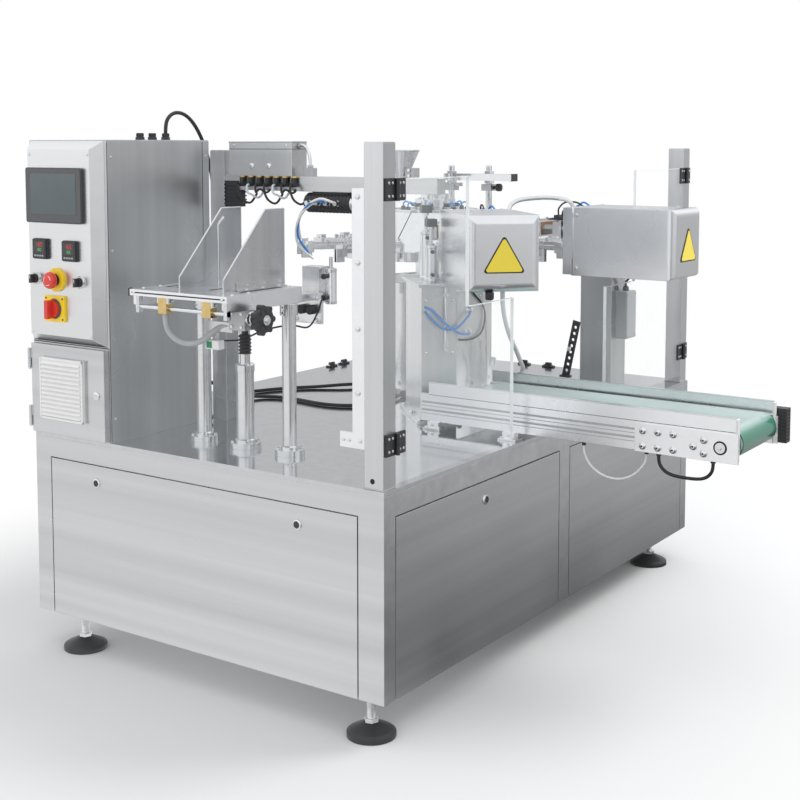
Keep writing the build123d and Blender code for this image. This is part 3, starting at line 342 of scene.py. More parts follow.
@dataclass(frozen=True)
class Moulded(Finish):
    """Moulded plastic or rubber with a fine grit."""

    colour: Tone = (0.03, 0.03, 0.032)
    lift: float = 1.25
    rough: Spread = Spread(0.38, 0.52)
    fineness: float = 1100.0
    bump: float = 0.12
    bump_m: float = 0.0003
    coat: float = 0.0
    coat_rough: float = 0.12

    def build(self) -> Material:
        """Mottle lifts the tone a little and sets roughness, grit sets height."""
        material, shader, where = self.start()
        tree = material.node_tree
        grit = pattern(where, GRIT_GROUP, Fineness=self.fineness).outputs
        lighter = tuple(min(1.0, part * self.lift) for part in self.colour)
        feed(shader, {
            "Base Color": tone_mix(tree, grit["Mottle"], self.colour, lighter),
            "Roughness": self.rough.wire(tree, grit["Mottle"]),
            "Coat Weight": self.coat,
            "Coat Roughness": self.coat_rough,
            "Normal": bumped(grit["Grit"], self.bump, self.bump_m),
        })
        return material


@dataclass(frozen=True)
class ClearSheet(Finish):
    """Clear acrylic sheet: thin, faintly cool and nearly see-through, with a wiped haze."""

    tint: Tone = (0.90, 0.96, 0.97)
    haze: Tone = (0.97, 0.99, 1.0)
    alpha: Spread = Spread(0.06, 0.12)
    rough: float = 0.04
    smudge_m: float = 0.3

    def build(self) -> Material:
        """Smudges raise the alpha a little; the gloss stays sharp."""
        material, shader, where = self.start()
        tree = material.node_tree
        mask = pattern(where, SMUDGE_GROUP, Size=self.smudge_m).outputs["Mask"]
        feed(shader, {
            "Base Color": tone_mix(tree, mask, self.tint, self.haze),
            "Alpha": self.alpha.wire(tree, mask),
            "Roughness": self.rough,
        })
        return material


@dataclass(frozen=True)
class BeltCover(Finish):
    """Glossy green belt whose level lane is painted pale, a painted reflection of the bright surroundings, streaky
    along its run.
    """

    end: Tone = (0.030, 0.200, 0.130)
    # painted reflection: the lane's pale tone stands in for the bright surroundings seen in the glossy belt at a
    # grazing view
    lane: Tone = (0.30, 0.42, 0.39)
    lane_z: Span = (0.650, 0.6635)
    rough: Spread = Spread(0.24, 0.40)
    stretch: Point = (0.05, 1.0, 1.0)
    coat: float = 0.8
    coat_rough: float = 0.10

    def build(self) -> Material:
        """Height picks the painted pale sheen of the lane, streaks along the run vary it, the coat gives the gloss.
        """
        material, shader, where = self.start()
        tree = material.node_tree
        split = add_node(tree, "ShaderNodeSeparateXYZ", {0: where}).outputs
        bands = pattern(where, GRAIN_GROUP, Stretch=self.stretch).outputs["Bands"]
        # painted reflection mask: 1 on the level lane, 0 on the green ends; the streaks vary it along the run
        level = eased(tree, split["Z"], self.lane_z, (0.0, 1.0))
        streak = reckon(tree, "MULTIPLY_ADD", bands, 0.30, 0.85)
        feed(shader, {
            "Base Color": tone_mix(tree, reckon(tree, "MULTIPLY", level, streak), self.end, self.lane),
            "Roughness": self.rough.wire(tree, bands),
            "Coat Weight": self.coat,
            "Coat Roughness": self.coat_rough,
        })
        return material


FRONT_STEEL = BrushedSteel("brushed_sheet_level", "brushed_stainless", grain=X)
SIDE_STEEL = BrushedSteel("brushed_sheet_depth", "brushed_stainless", grain=Y)
POST_STEEL = BrushedSteel("brushed_post", "brushed_stainless", grain=Z)
TABLE_STEEL = SmoothMetal(
    "polished_table", "polished_stainless", dark=(0.58, 0.59, 0.60), light=(0.70, 0.71, 0.72),
    rough=Spread(0.07, 0.16), bump=0.01, smudge_m=0.5,
)
POLISHED = SmoothMetal("polished_steel", "polished_stainless")
TURNED = SmoothMetal("turned_steel", "satin_stainless", rough=Spread(0.16, 0.26))
ALUMINIUM = SmoothMetal(
    "anodised_profile", "anodised_aluminium", dark=(0.86, 0.87, 0.89), light=(0.93, 0.94, 0.96),
    rough=Spread(0.24, 0.32), bump=0.02,
)
DARK_STEEL = BrushedSteel(
    "dark_strap", "brushed_stainless", grain=Z, dark=(0.07, 0.07, 0.075),
    light=(0.12, 0.12, 0.125),
)
COVER_STEEL = BrushedSteel(
    "brushed_cover", "brushed_stainless", grain=Y, dark=(0.74, 0.75, 0.77), light=(0.82, 0.83, 0.85),
    rough=Spread(0.20, 0.28), edge_mm=3.0,
)
PANEL_STEEL = BrushedSteel(
    "brushed_panel", "brushed_stainless", grain=X, dark=(0.74, 0.745, 0.75),
    light=(0.82, 0.825, 0.83),
)
CASTING = SmoothMetal(
    "grey_casting", "cast_grey", dark=(0.42, 0.43, 0.44), light=(0.55, 0.56, 0.57),
    rough=Spread(0.35, 0.5), bump=0.2, metallic=0.6,
)
BRASS = SmoothMetal(
    "cast_brass", "brass", dark=(0.62, 0.42, 0.16), light=(0.85, 0.66, 0.32),
    rough=Spread(0.22, 0.38), bump=0.1,
)
BLACK = Moulded("black_moulding", "black_plastic")
WHITE = Moulded("white_moulding", "white_plastic", colour=(0.78, 0.78, 0.77), lift=1.08)
GREY = Moulded("grey_moulding", "grey_plastic", colour=(0.38, 0.39, 0.40), lift=1.15)
YELLOW = Moulded("yellow_moulding", "yellow_plastic", colour=(0.93, 0.66, 0.02), lift=1.05, coat=0.4)
RED = Moulded("red_moulding", "red_plastic", colour=(0.66, 0.03, 0.02), lift=1.15, coat=0.5)
GREEN = BeltCover("green_belt_cover", "green_belt")
GREEN_PLASTIC = Moulded("green_moulding", "green_belt", colour=(0.02, 0.24, 0.10), lift=1.2)
GREY_DARK = Moulded("dark_grey_moulding", "black_plastic", colour=(0.085, 0.087, 0.09), lift=1.2)
SHADOW = Moulded("dark_gap", "black_plastic", colour=(0.010, 0.010, 0.011), lift=1.2, rough=Spread(0.6, 0.8))
DISPLAY = Moulded(
    "display_glass", "screen_glass", colour=(0.055, 0.075, 0.085), rough=Spread(0.08, 0.12), coat=0.8,
    bump=0.0,
)
LIT_RED = Moulded("red_digits", "red_plastic", colour=(0.90, 0.05, 0.02), lift=1.05)
LIT_GREEN = Moulded("green_digits", "green_belt", colour=(0.10, 0.75, 0.20), lift=1.05)
SIGN_YELLOW = Moulded(
    "yellow_plate", "yellow_plastic", colour=(0.92, 0.73, 0.06), lift=1.03, rough=Spread(0.25, 0.35),
    coat=0.4,
)
TAPE = Moulded("brown_jaw_tape", "black_plastic", colour=(0.26, 0.15, 0.08), lift=1.3, rough=Spread(0.3, 0.45))
SPRING = SmoothMetal(
    "spring_wire", "polished_stainless", dark=(0.50, 0.51, 0.52), light=(0.62, 0.63, 0.64),
    rough=Spread(0.2, 0.3), edge_mm=0.1,
)
# painted highlight: pale opaque strips stand for the light caught in the clear sheets' edges
CLEAR_EDGE = Moulded(
    "acrylic_edge", "clear_acrylic", colour=(0.85, 0.90, 0.91), lift=1.15, rough=Spread(0.08, 0.14),
    coat=0.6, bump=0.0,
)
SHEATH = Moulded("black_sheath", "black_rubber", colour=(0.018, 0.018, 0.02))
WHITE_SHEATH = Moulded("white_sheath_finish", "white_sheath", colour=(0.80, 0.80, 0.78), lift=1.05)
BLUE_TUBE = Moulded(
    "blue_air_tube", "clear_hose", colour=(0.02, 0.22, 0.62), lift=1.2, rough=Spread(0.18, 0.28),
    coat=0.3,
)
PALE_TUBE = Moulded(
    "pale_air_tube", "clear_hose", colour=(0.62, 0.70, 0.76), lift=1.1, rough=Spread(0.18, 0.28),
    coat=0.3,
)
HOSE = Moulded("pale_hose", "clear_hose", colour=(0.70, 0.74, 0.76), lift=1.1, rough=Spread(0.2, 0.3))
CONDUIT = Moulded("grey_conduit_finish", "grey_conduit", colour=(0.40, 0.41, 0.42), lift=1.2)
SCREEN = Moulded(
    "dark_glass", "screen_glass", colour=(0.02, 0.023, 0.026), rough=Spread(0.1, 0.16), coat=0.6,
    bump=0.0,
)
ACRYLIC = ClearSheet("clear_acrylic_sheet", "clear_acrylic")

NODE_FINISH: dict[str, Finish] = {
    "base_housing": FRONT_STEEL, "table_top": TABLE_STEEL, "front_panel": FRONT_STEEL,
    "side_and_back_panels": SIDE_STEEL, "panel_locks": BLACK, "levelling_feet": BLACK,
    "control_cabinet": POST_STEEL, "control_panel": PANEL_STEEL, "cabinet_door": FRONT_STEEL,
    "vent_louver": WHITE, "cable_glands": BLACK, "touch_screen": SCREEN,
    "yellow_backplates": YELLOW, "emergency_stop": RED, "panel_fittings": BLACK,
    "left_selector": BLACK, "right_selector": BLACK, "main_switch_handle": RED,
    "guard_posts": POST_STEEL, "post_channel": ALUMINIUM, "beam_and_post": FRONT_STEEL,
    "valve_box": FRONT_STEEL, "hinge_leaves": BLACK, "front_door": ACRYLIC, "rear_door": ACRYLIC,
    "front_door_leaves": BLACK, "rear_door_leaves": BLACK, "magazine_columns": TURNED,
    "magazine_frame": ALUMINIUM, "magazine_rod": POLISHED, "rod_clamps": BRASS,
    "magazine_side_plates": POST_STEEL, "handwheel_bearing": CASTING, "handwheel": BLACK,
    "pickup_unit": ALUMINIUM, "turret_base": TURNED, "turret_rotor": TURNED,
    "gripper_arms": TURNED, "left_seal_cover": COVER_STEEL, "right_seal_cover": COVER_STEEL,
    "seal_stands": POST_STEEL, "seal_jaws": ALUMINIUM, "junction_box": GREY,
    "perforated_strap": DARK_STEEL, "funnel": TURNED, "rod_stands": POLISHED,
    "conveyor_rails": ALUMINIUM, "conveyor_side_plates": ALUMINIUM, "conveyor_belt": GREEN,
    "conveyor_drums": TURNED, "conveyor_drive": BLACK, "cord_fittings": BLACK,
    "cabinet_cable": SHEATH, "rear_table_cable": SHEATH, "front_table_cable": SHEATH,
    "seal_hose": HOSE, "magazine_conduit": CONDUIT, "conveyor_white_cable": WHITE_SHEATH,
    "conveyor_black_cable": SHEATH,
}


# Mesh helpers
def unit(vectors: np.ndarray) -> np.ndarray:
    """Vectors scaled to length one along their last axis."""
    return vectors / np.linalg.norm(vectors, axis=-1, keepdims=True)


def carried(rings: np.ndarray, looped: bool = False) -> Shell:
    """A closed shell from rings of points carried along a path.

    Args:
        rings: Points of shape (rows, around, 3); each row closes on itself.
        looped: True joins the last row to the first, False caps both ends.

    Returns:
        Points and faces, faces pointing outwards.
    """
    rows, around, _ = rings.shape
    index = np.arange(rows * around).reshape(rows, around)
    beside = np.roll(index, -1, axis=1)
    last = None if looped else -1
    above = np.roll(index, -1, axis=0)[:last]
    above_beside = np.roll(beside, -1, axis=0)[:last]
    quads = np.stack((index[:last], beside[:last], above_beside, above), axis=-1).reshape(-1, 4)
    faces = [tuple(face) for face in quads.tolist()]
    points = rings.reshape(-1, 3)
    corners = points[quads] - points.mean(axis=0)
    crossed = np.cross(corners[:, 1] - corners[:, 0], corners[:, 3] - corners[:, 0])
    volume = float((corners[:, 0] * crossed).sum())
    if not looped:
        faces.append(tuple(index[0, ::-1].tolist()))
        faces.append(tuple(index[-1].tolist()))
        for ring, sign in ((rings[0], -1), (rings[-1], 1)):
            middle = ring.mean(axis=0)
            area = np.cross(ring - middle, np.roll(ring, -1, axis=0) - middle).sum(axis=0)
            volume += sign * float(area @ (middle - points.mean(axis=0)))
    if volume < 0:
        faces = [face[::-1] for face in faces]
    return points, faces


def slab(x: Span, y: Span, z: Span) -> Shell:
    """A plain block between limits, meant for small parts whose edges get a radius.

    Args:
        x: Limits along x.
        y: Limits along y.
        z: Limits along z.

    Returns:
        The shell.
    """
    corners = np.array(((x[0], y[0]), (x[1], y[0]), (x[1], y[1]), (x[0], y[1])))
    rings = np.empty((2, 4, 3))
    rings[:, :, :2] = corners
    rings[:, :, 2] = np.array(z)[:, None]
    return carried(rings)


def axes_of(along: Along) -> tuple[np.ndarray, np.ndarray, np.ndarray]:
    """An axis and two square directions that go around it."""
    axis, first = np.array(along.value), np.roll(along.value, 1)
    return axis, first, np.cross(axis, first)


def turned(profile: Outline, centre: Point, along: Along = Z, steps: int = 32, looped: bool = False) -> Shell:
    """A turned piece.

    Args:
        profile: Pairs of distance along the axis and radius.
        centre: Point that the distances start from.
        along: Axis of the piece.
        steps: Points around.
        looped: True for a closed ring section.

    Returns:
        The shell.
    """
    axis, first, second = axes_of(along)
    reach, radius = np.array(profile, float).T
    turn = np.linspace(0, 2 * np.pi, steps, endpoint=False)
    around = np.cos(turn)[:, None] * first + np.sin(turn)[:, None] * second
    rings = np.array(centre, float) + reach[:, None, None] * axis + radius[:, None, None] * around
    return carried(rings, looped)


def pressed(outline: Outline, low: float, high: float, along: Along = Z, centre: Point = (0, 0, 0)) -> Shell:
    """A flat outline pressed along an axis.

    Args:
        outline: Pairs of distances along the two directions that go around the axis.
        low: Start along the axis.
        high: End along the axis.
        along: The axis.
        centre: Point that every distance starts from.

    Returns:
        The shell.
    """
    axis, first, second = axes_of(along)
    flat = np.array(outline, float)
    ring = flat[:, :1] * first + flat[:, 1:] * second
    rings = np.stack((ring + low * axis, ring + high * axis)) + np.array(centre, float)
    return carried(rings)


def polygon(sides: int, radius: float, turn_deg: float = 0) -> Outline:
    """Corners of an even polygon, its first corner turned by turn_deg."""
    turn = np.radians(turn_deg) + np.linspace(0, 2 * np.pi, sides, endpoint=False)
    return [tuple(pair) for pair in (radius * np.stack((np.cos(turn), np.sin(turn)), axis=1)).tolist()]


def rounded(width: float, height: float, radius: float, steps: int = 5, centre: Pair = (0, 0)) -> Outline:
    """A rectangle with round corners.

    Args:
        width: Size along the first direction.
        height: Size along the second direction.
        radius: Corner radius.
        steps: Points in each corner.
        centre: Middle of the rectangle.

    Returns:
        The outline.
    """
    turn = np.linspace(0, np.pi / 2, steps)
    quarter = radius * np.stack((np.cos(turn), np.sin(turn)), axis=1)
    spin = np.array(((0, -1), (1, 0)))
    signs = np.array(((1, 1), (-1, 1), (-1, -1), (1, -1)))
    inner = signs * np.array((width / 2 - radius, height / 2 - radius))
    turns = [np.linalg.matrix_power(spin, count) for count in range(4)]
    corners = [inner[count] + quarter @ turns[count].T for count in range(4)]
    return [tuple(pair) for pair in (np.concatenate(corners) + np.array(centre)).tolist()]


def smooth_path(points: list[Point], per_span: int = 8) -> np.ndarray:
    """A smooth path through points.

    Args:
        points: Points that the path passes.
        per_span: Steps between two points.

    Returns:
        Points of the path.
    """
    knots = np.array(points, float)
    padded = np.concatenate((2 * knots[:1] - knots[1:2], knots, 2 * knots[-1:] - knots[-2:-1]))
    step = np.linspace(0, 1, per_span, endpoint=False)[:, None]
    before, start, end, after = (padded[i:len(padded) - 3 + i, None, :] for i in range(4))
    spans = 0.5 * (
        2 * start + (end - before) * step + (2 * before - 5 * start + 4 * end - after) * step**2
        + (3 * start - before - 3 * end + after) * step**3
    )
    return np.concatenate((spans.reshape(-1, 3), knots[-1:]))


def tube(points: list[Point], radius: float, steps: int = 12, smooth: bool = True) -> Shell:
    """A round bar or hose along a path.

    Args:
        points: Points that it passes.
        radius: Its radius.
        steps: Points around.
        smooth: False keeps the points as the path itself.

    Returns:
        The shell.
    """
    path = smooth_path(points) if smooth else np.array(points, float)
    ahead = unit(np.gradient(path, axis=0))
    level = np.zeros(3)
    level[int(np.abs(ahead).max(axis=0).argmin())] = 1
    first = unit(np.cross(ahead, level))
    second = np.cross(ahead, first)
    turn = np.linspace(0, 2 * np.pi, steps, endpoint=False)
    around = np.cos(turn)[None, :, None] * first[:, None, :] + np.sin(turn)[None, :, None] * second[:, None, :]
    return carried(path[:, None, :] + radius * around)


def coil(start: Point, end: Point, radius: float, wire: float, turns: float) -> Shell:
    """A spring wound around the line between two points.

    Args:
        start: First end of its axis.
        end: Other end of its axis.
        radius: Radius of the winding.
        wire: Radius of the wire.
        turns: Number of turns.

    Returns:
        The shell.
    """
    low, high = np.array(start, float), np.array(end, float)
    axis = unit(high - low)
    first = unit(np.cross(axis, (0.31, 0.17, 0.93)))
    second = np.cross(axis, first)
    share = np.linspace(0, 1, int(turns * 12) + 1)[:, None]
    turn = 2 * np.pi * turns * share
    path = low + (high - low) * share + radius * (np.cos(turn) * first + np.sin(turn) * second)
    outward = np.cos(turn) * first + np.sin(turn) * second
    ahead = unit(np.gradient(path, axis=0))
    third = np.cross(ahead, outward)
    spin = np.linspace(0, 2 * np.pi, 6, endpoint=False)
    ring = np.cos(spin)[None, :, None] * outward[:, None, :] + np.sin(spin)[None, :, None] * third[:, None, :]
    return carried(path[:, None, :] + wire * ring)


def circle(centre: Point, radius: float, count: int, start_deg: float = 0) -> list[Point]:
    """Even points on a level circle, the first one at start_deg."""
    turns = [math.radians(start_deg + index * 360 / count) for index in range(count)]
    return [(centre[0] + radius * math.cos(t), centre[1] + radius * math.sin(t), centre[2]) for t in turns]


def moved(shell: Shell, at: Point, turn_deg: float = 0) -> Shell:
    """A shell turned about z and then moved.

    Args:
        shell: The shell.
        at: Where its origin goes.
        turn_deg: Turn about z before the move.

    Returns:
        The shell in its new place.
    """
    turn = math.radians(turn_deg)
    spin = np.array(((math.cos(turn), -math.sin(turn), 0), (math.sin(turn), math.cos(turn), 0), (0, 0, 1)))
    return shell[0] @ spin.T + np.array(at, float), shell[1]


@dataclass
class Stock:
    """Closed shells of one finish on one body, gathered into one piece."""

    name: str
    finish: Finish
    body: Body = Body.MACHINE
    edge: float = 0
    points: list[np.ndarray] = field(default_factory=list)
    faces: list[tuple[int, ...]] = field(default_factory=list)

    def add(self, *shells: Shell) -> None:
        """Gather shells, in millimetres from the datum."""
        for points, faces in shells:
            shift = sum(len(part) for part in self.points)
            self.points.append(points)
            self.faces.extend(tuple(corner + shift for corner in face) for face in faces)

    def build(self) -> None:
        """Make the piece with smooth shading and a small radius on its edges."""
        mesh = bpy.data.meshes.new(self.name)
        mesh.from_pydata((DATUM + np.concatenate(self.points) * MM).tolist(), [], self.faces)
        mesh.shade_smooth()
        mesh.set_sharp_from_angle(angle=math.radians(SHARP_DEG))
        mesh.materials.append(self.finish.get())
        piece = bpy.data.objects.new(self.name, mesh)
        bpy.context.scene.collection.objects.link(piece)
        if self.edge > 0:
            bevel = piece.modifiers.new("edge_radius", "BEVEL")
            bevel.width = self.edge * MM
            bevel.segments = 2
            bevel.limit_method = "ANGLE"
            bevel.angle_limit = math.radians(BEVEL_DEG)
            bevel.harden_normals = True
        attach(piece, self.body.value)
        LOG.info("%s: %d faces on %s", self.name, len(self.faces), self.body.value)


@dataclass
class Dress:
    """Base of the groups of small parts: it keeps the group's stocks and builds them."""

    stocks: list[Stock] = field(default_factory=list)

    def stock(self, name: str, finish: Finish, body: Body = Body.MACHINE, edge: float = 0) -> Stock:
        """Start a stock that is built with the group; edge is its edges' radius in millimetres."""
        self.stocks.append(Stock(name, finish, body, edge))
        return self.stocks[-1]

    def shape(self) -> None:
        """Fill the group's stocks."""
        raise NotImplementedError

    def build(self) -> None:
        """Fill the stocks and build them."""
        self.shape()
        for stock in self.stocks:
            stock.build()


def dome_screw(at: Point, along: Along, radius: float = 5, sign: float = 1) -> Shell:
    """A low domed screw head on a seat; a sign of -1 points it the other way."""
    profile = ((0, radius), (0.25, radius), (0.5, radius * 0.82), (0.62, radius * 0.35))
    return turned([(sign * reach * radius, size) for reach, size in profile], at, along, 16)


def socket_screw(at: Point, along: Along, radius: float = 5, sign: float = 1) -> tuple[Shell, Shell]:
    """A cap screw head and the dark hexagon in it, which stands for the socket's shade.

    Args:
        at: Middle of its seat.
        along: Axis that it points along.
        radius: Radius of the head.
        sign: -1 points it the other way.

    Returns:
        The head and the dark inset.
    """
    head = turned([(0, radius), (sign * radius * 0.8, radius)], at, along, 20)
    inset = pressed(polygon(6, radius * 0.55), sign * radius * 0.5, sign * radius * 0.84, along, at)
    return head, inset


def hex_nut(at: Point, along: Along, radius: float = 8, height: float = 6) -> Shell:
    """A hexagon nut or bolt head on a seat; a negative height points it the other way."""
    return pressed(polygon(6, radius, 12), 0, height, along, at)


@dataclass
class BaseDress(Dress):
    """Lock rings, foot hardware and cable clips of the base."""

    width: float = 1109
    depth: float = 1663
    lock_z: float = -108
    front_locks: tuple[float, ...] = (-884.6, -238.4)
    back_locks: tuple[float, ...] = (-882.2, -226.8)
    side_locks: tuple[float, ...] = (423.25, 1239.75)
    foot_x: Pair = (-66, -986)
    foot_y: Pair = (44, 1534)
    floor: float = -568
    ribs: int = 14

    def locks(self) -> None:
        """A bright ring around every panel lock and a key slot in its face."""
        rings = self.stock("lock_rings", POLISHED, edge=0.5)
        slots = self.stock("lock_key_bosses", POLISHED, edge=0.2)
        section = ((0, 8), (0, 12.5), (2.4, 11.6), (3.6, 9.6), (3.6, 8))
        places = [(x, 0, Y, -1) for x in self.front_locks]
        places += [(x, self.depth, Y, 1) for x in self.back_locks]
        places += [(y, 0, X, 1) for y in self.side_locks]
        places += [(y, -self.width, X, -1) for y in self.side_locks]
        for place, face, along, sign in places:
            at = (place, face, self.lock_z) if along is Y else (face, place, self.lock_z)
            rings.add(turned([(sign * reach, radius) for reach, radius in section], at, along, 32, True))
            slots.add(pressed(polygon(3, 4.2, 90), sign * 3, sign * 3.95, along, at))

    def feet(self) -> None:
        """Threaded stems, hexagon nuts and ribs on the foot pads."""
        steel = self.stock("foot_stems", TURNED)
        nuts = self.stock("foot_nuts", POLISHED, edge=0.8)
        pads = self.stock("foot_pad_ribs", BLACK, edge=0.8)
        low, high = self.floor + 30, -485
        reach = np.arange(low, high, 1.25)
        thread = [(float(z), 9.3 + 0.9 * (index % 2)) for index, z in enumerate(reach)]
        fin = ((24, 19), (15.5, 50), (12, 50), (12, 19))
        for x, y in product(self.foot_x, self.foot_y):
            steel.add(turned(thread, (x, y, 0), Z, 24))
            nuts.add(hex_nut((x, y, -487), Z, 20, 13.9))
            nuts.add(hex_nut((x, y, self.floor + 31), Z, 17, 9))
            for index in range(self.ribs):
                rib = pressed(fin, -1.6, 1.6, Y)
                spun = moved(rib, (0, 0, 0), index * 360 / self.ribs)
                pads.add(moved(spun, (x, y, self.floor)))
            pads.add(turned([(8.5, 54.5), (10.4, 56), (12.2, 54), (12.2, 50), (8.5, 50)],
                            (x, y, self.floor), Z, 48, True))

    def clips(self) -> None:
        """Cable clips with bright screws near the table's rear and left edges."""
        blocks = self.stock("table_cable_clips", BLACK, edge=1.2)
        screws = self.stock("table_clip_screws", POLISHED, edge=0.3)
        for x, y, along_x in ((-575, 1640, True), (-483, 1640, True), (-1086, 1235, False), (-1086, 1303, False)):
            half_x, half_y = (21, 9) if along_x else (9, 21)
            blocks.add(slab((x - half_x, x + half_x), (y - half_y, y + half_y), (0, 5)))
            blocks.add(slab((x - half_x * 0.5, x + half_x * 0.5), (y - half_y * 0.6, y + half_y * 0.6), (4, 15)))
            for sign in (-0.75, 0.75):
                shift = (sign * half_x, 0) if along_x else (0, sign * half_y)
                screws.add(hex_nut((x + shift[0], y + shift[1], 5), Z, 4.6, 3.6))

    def shape(self) -> None:
        """Dress the base."""
        self.locks()
        self.feet()
        self.clips()


@dataclass
class ControlsDress(Dress):
    """Faces of the controls on the cabinet front."""

    left: float = -1109
    face: float = -30
    screen: Pair = (130, 615)
    meters: tuple[Pair, ...] = ((75, 480), (183, 478))
    stop: Pair = (129, 404)
    selectors: tuple[Pair, ...] = ((51, 404), (213, 402))
    switch: Pair = (123, 331)
    digits: tuple[str, ...] = ("180", "165")

    def place(self, at: Pair, out: float) -> Point:
        """A point on the control panel, from its left edge and the table, out millimetres before its face."""
        return (self.left + at[0], self.face - out, at[1])

    def plate(self, at: Pair, size: Pair, out: Span, radius: float = 2) -> Shell:
        """A flat plate with round corners, parallel to the panel, between two distances from its face."""
        outline = [(height, width) for width, height in rounded(size[0], size[1], radius)]
        return pressed(outline, -out[0], -out[1], Y, self.place(at, 0))

    def touch_screen(self) -> None:
        """Bezel step and the display glass of the touch screen."""
        x, z = self.screen
        self.stock("screen_rim", GREY_DARK, edge=0.6).add(self.plate((x, z), (198, 132), (7.5, 9.2), 5))
        self.stock("screen_display", DISPLAY, edge=0.2).add(self.plate((x, z + 4), (166, 102), (9, 9.8), 1.5))

    def seven_segment(self, word: str, at: Pair, height: float, out: float) -> list[Shell]:
        """Lit digits of a counter.

        Args:
            word: The digits.
            at: Middle of the word on the panel.
            height: Height of a digit.
            out: Distance in front of the panel.

        Returns:
            One shell for each lit bar.
        """
        lit = {"0": "abcdef", "1": "bc", "5": "acdfg", "6": "acdefg", "8": "abcdefg"}
        width, bar = height * 0.52, height * 0.13
        bars = {
            "a": (0, height / 2, 0), "d": (0, -height / 2, 0), "g": (0, 0, 0),
            "b": (width / 2, height / 4, 1), "c": (width / 2, -height / 4, 1),
            "f": (-width / 2, height / 4, 1), "e": (-width / 2, -height / 4, 1),
        }
        shells = []
        for index, digit in enumerate(word):
            shift = (index - (len(word) - 1) / 2) * height * 0.86
            for name in lit[digit]:
                across, up, standing = bars[name]
                size = (bar, height / 2 - bar) if standing else (width - bar, bar)
                shells.append(self.plate((at[0] + shift + across, at[1] + up), size, (out, out + 0.35), bar * 0.3))
        return shells

    def controllers(self) -> None:
        """Bezel, dark window, digits and keys of the two temperature controllers."""
        bezel = self.stock("controller_bezels", BLACK, edge=0.8)
        window = self.stock("controller_windows", SCREEN, edge=0.2)
        red = self.stock("controller_values", LIT_RED)
        green = self.stock("controller_targets", LIT_GREEN)
        keys = self.stock("controller_keys", GREY, edge=0.4)
        for at, word in zip(self.meters, self.digits):
            x, z = at
            bezel.add(self.plate(at, (52, 52), (0, 6), 3))
            window.add(self.plate((x, z + 5), (40, 28), (9.8, 10.6), 1.5))
            red.add(*self.seven_segment(word, (x, z + 11.5), 10, 10.5))
            green.add(*self.seven_segment(word, (x, z - 2), 7, 10.5))
            for step in (-13.5, -4.5, 4.5, 13.5):
                keys.add(self.plate((x + step, z - 17), (6.4, 4.4), (9.8, 11.2), 1.2))

    def switches(self) -> None:
        """Rings, collars and pointer marks of the selectors, stop button and main switch."""
        chrome = self.stock("selector_rings", POLISHED, edge=0.3)
        ring = ((0, 12), (0, 16.2), (3.2, 16), (5.2, 14.4), (5.2, 12))
        for at in self.selectors:
            chrome.add(turned([(-reach, radius) for reach, radius in ring], self.place(at, 0), Y, 40, True))
        for at, body in zip(self.selectors, (Body.LEFT_SELECTOR, Body.RIGHT_SELECTOR)):
            self.stock(f"{body.value}_mark", WHITE, body, edge=0.2).add(
                self.plate((at[0], at[1] + 4.5), (1.8, 9), (20.6, 21.5), 0.6),
            )
        skirt = self.stock("stop_bellows", BLACK)
        folds = [(-6 - step * 1.5, 13.5 + 2.2 * (step % 2)) for step in range(5)]
        skirt.add(turned(folds, self.place(self.stop, 0), Y, 40))
        head = self.stock("stop_button_crown", RED, Body.EMERGENCY_STOP)
        crown = ((-18.5, 20.4), (-21, 20.9), (-27, 20.9), (-30, 19.6), (-32.4, 16.6), (-33.4, 10), (-33.6, 2))
        head.add(turned(crown, self.place(self.stop, 0), Y, 48))
        arrows = self.stock("stop_button_arrows", WHITE, Body.EMERGENCY_STOP)
        for start in (20, 140, 260):
            turn = np.radians(np.linspace(start, start + 62, 9))
            path = [self.place((self.stop[0] + 12 * math.sin(t), self.stop[1] + 12 * math.cos(t)), 33) for t in turn]
            arrows.add(tube(path, 0.9, 6, False))
        base = self.stock("main_switch_collar", GREY_DARK, edge=0.6)
        base.add(turned([(-6, 26), (-8.5, 25), (-9, 21.6)], self.place(self.switch, 0), Y, 48))
        for across, up in product((-30, 30), (-26, 26)):
            at = self.place((self.switch[0] + across, self.switch[1] + up), 6)
            base.add(dome_screw(at, Y, 2.8, -1))

    def shape(self) -> None:
        """Dress the controls."""
        self.touch_screen()
        self.controllers()
        self.switches()


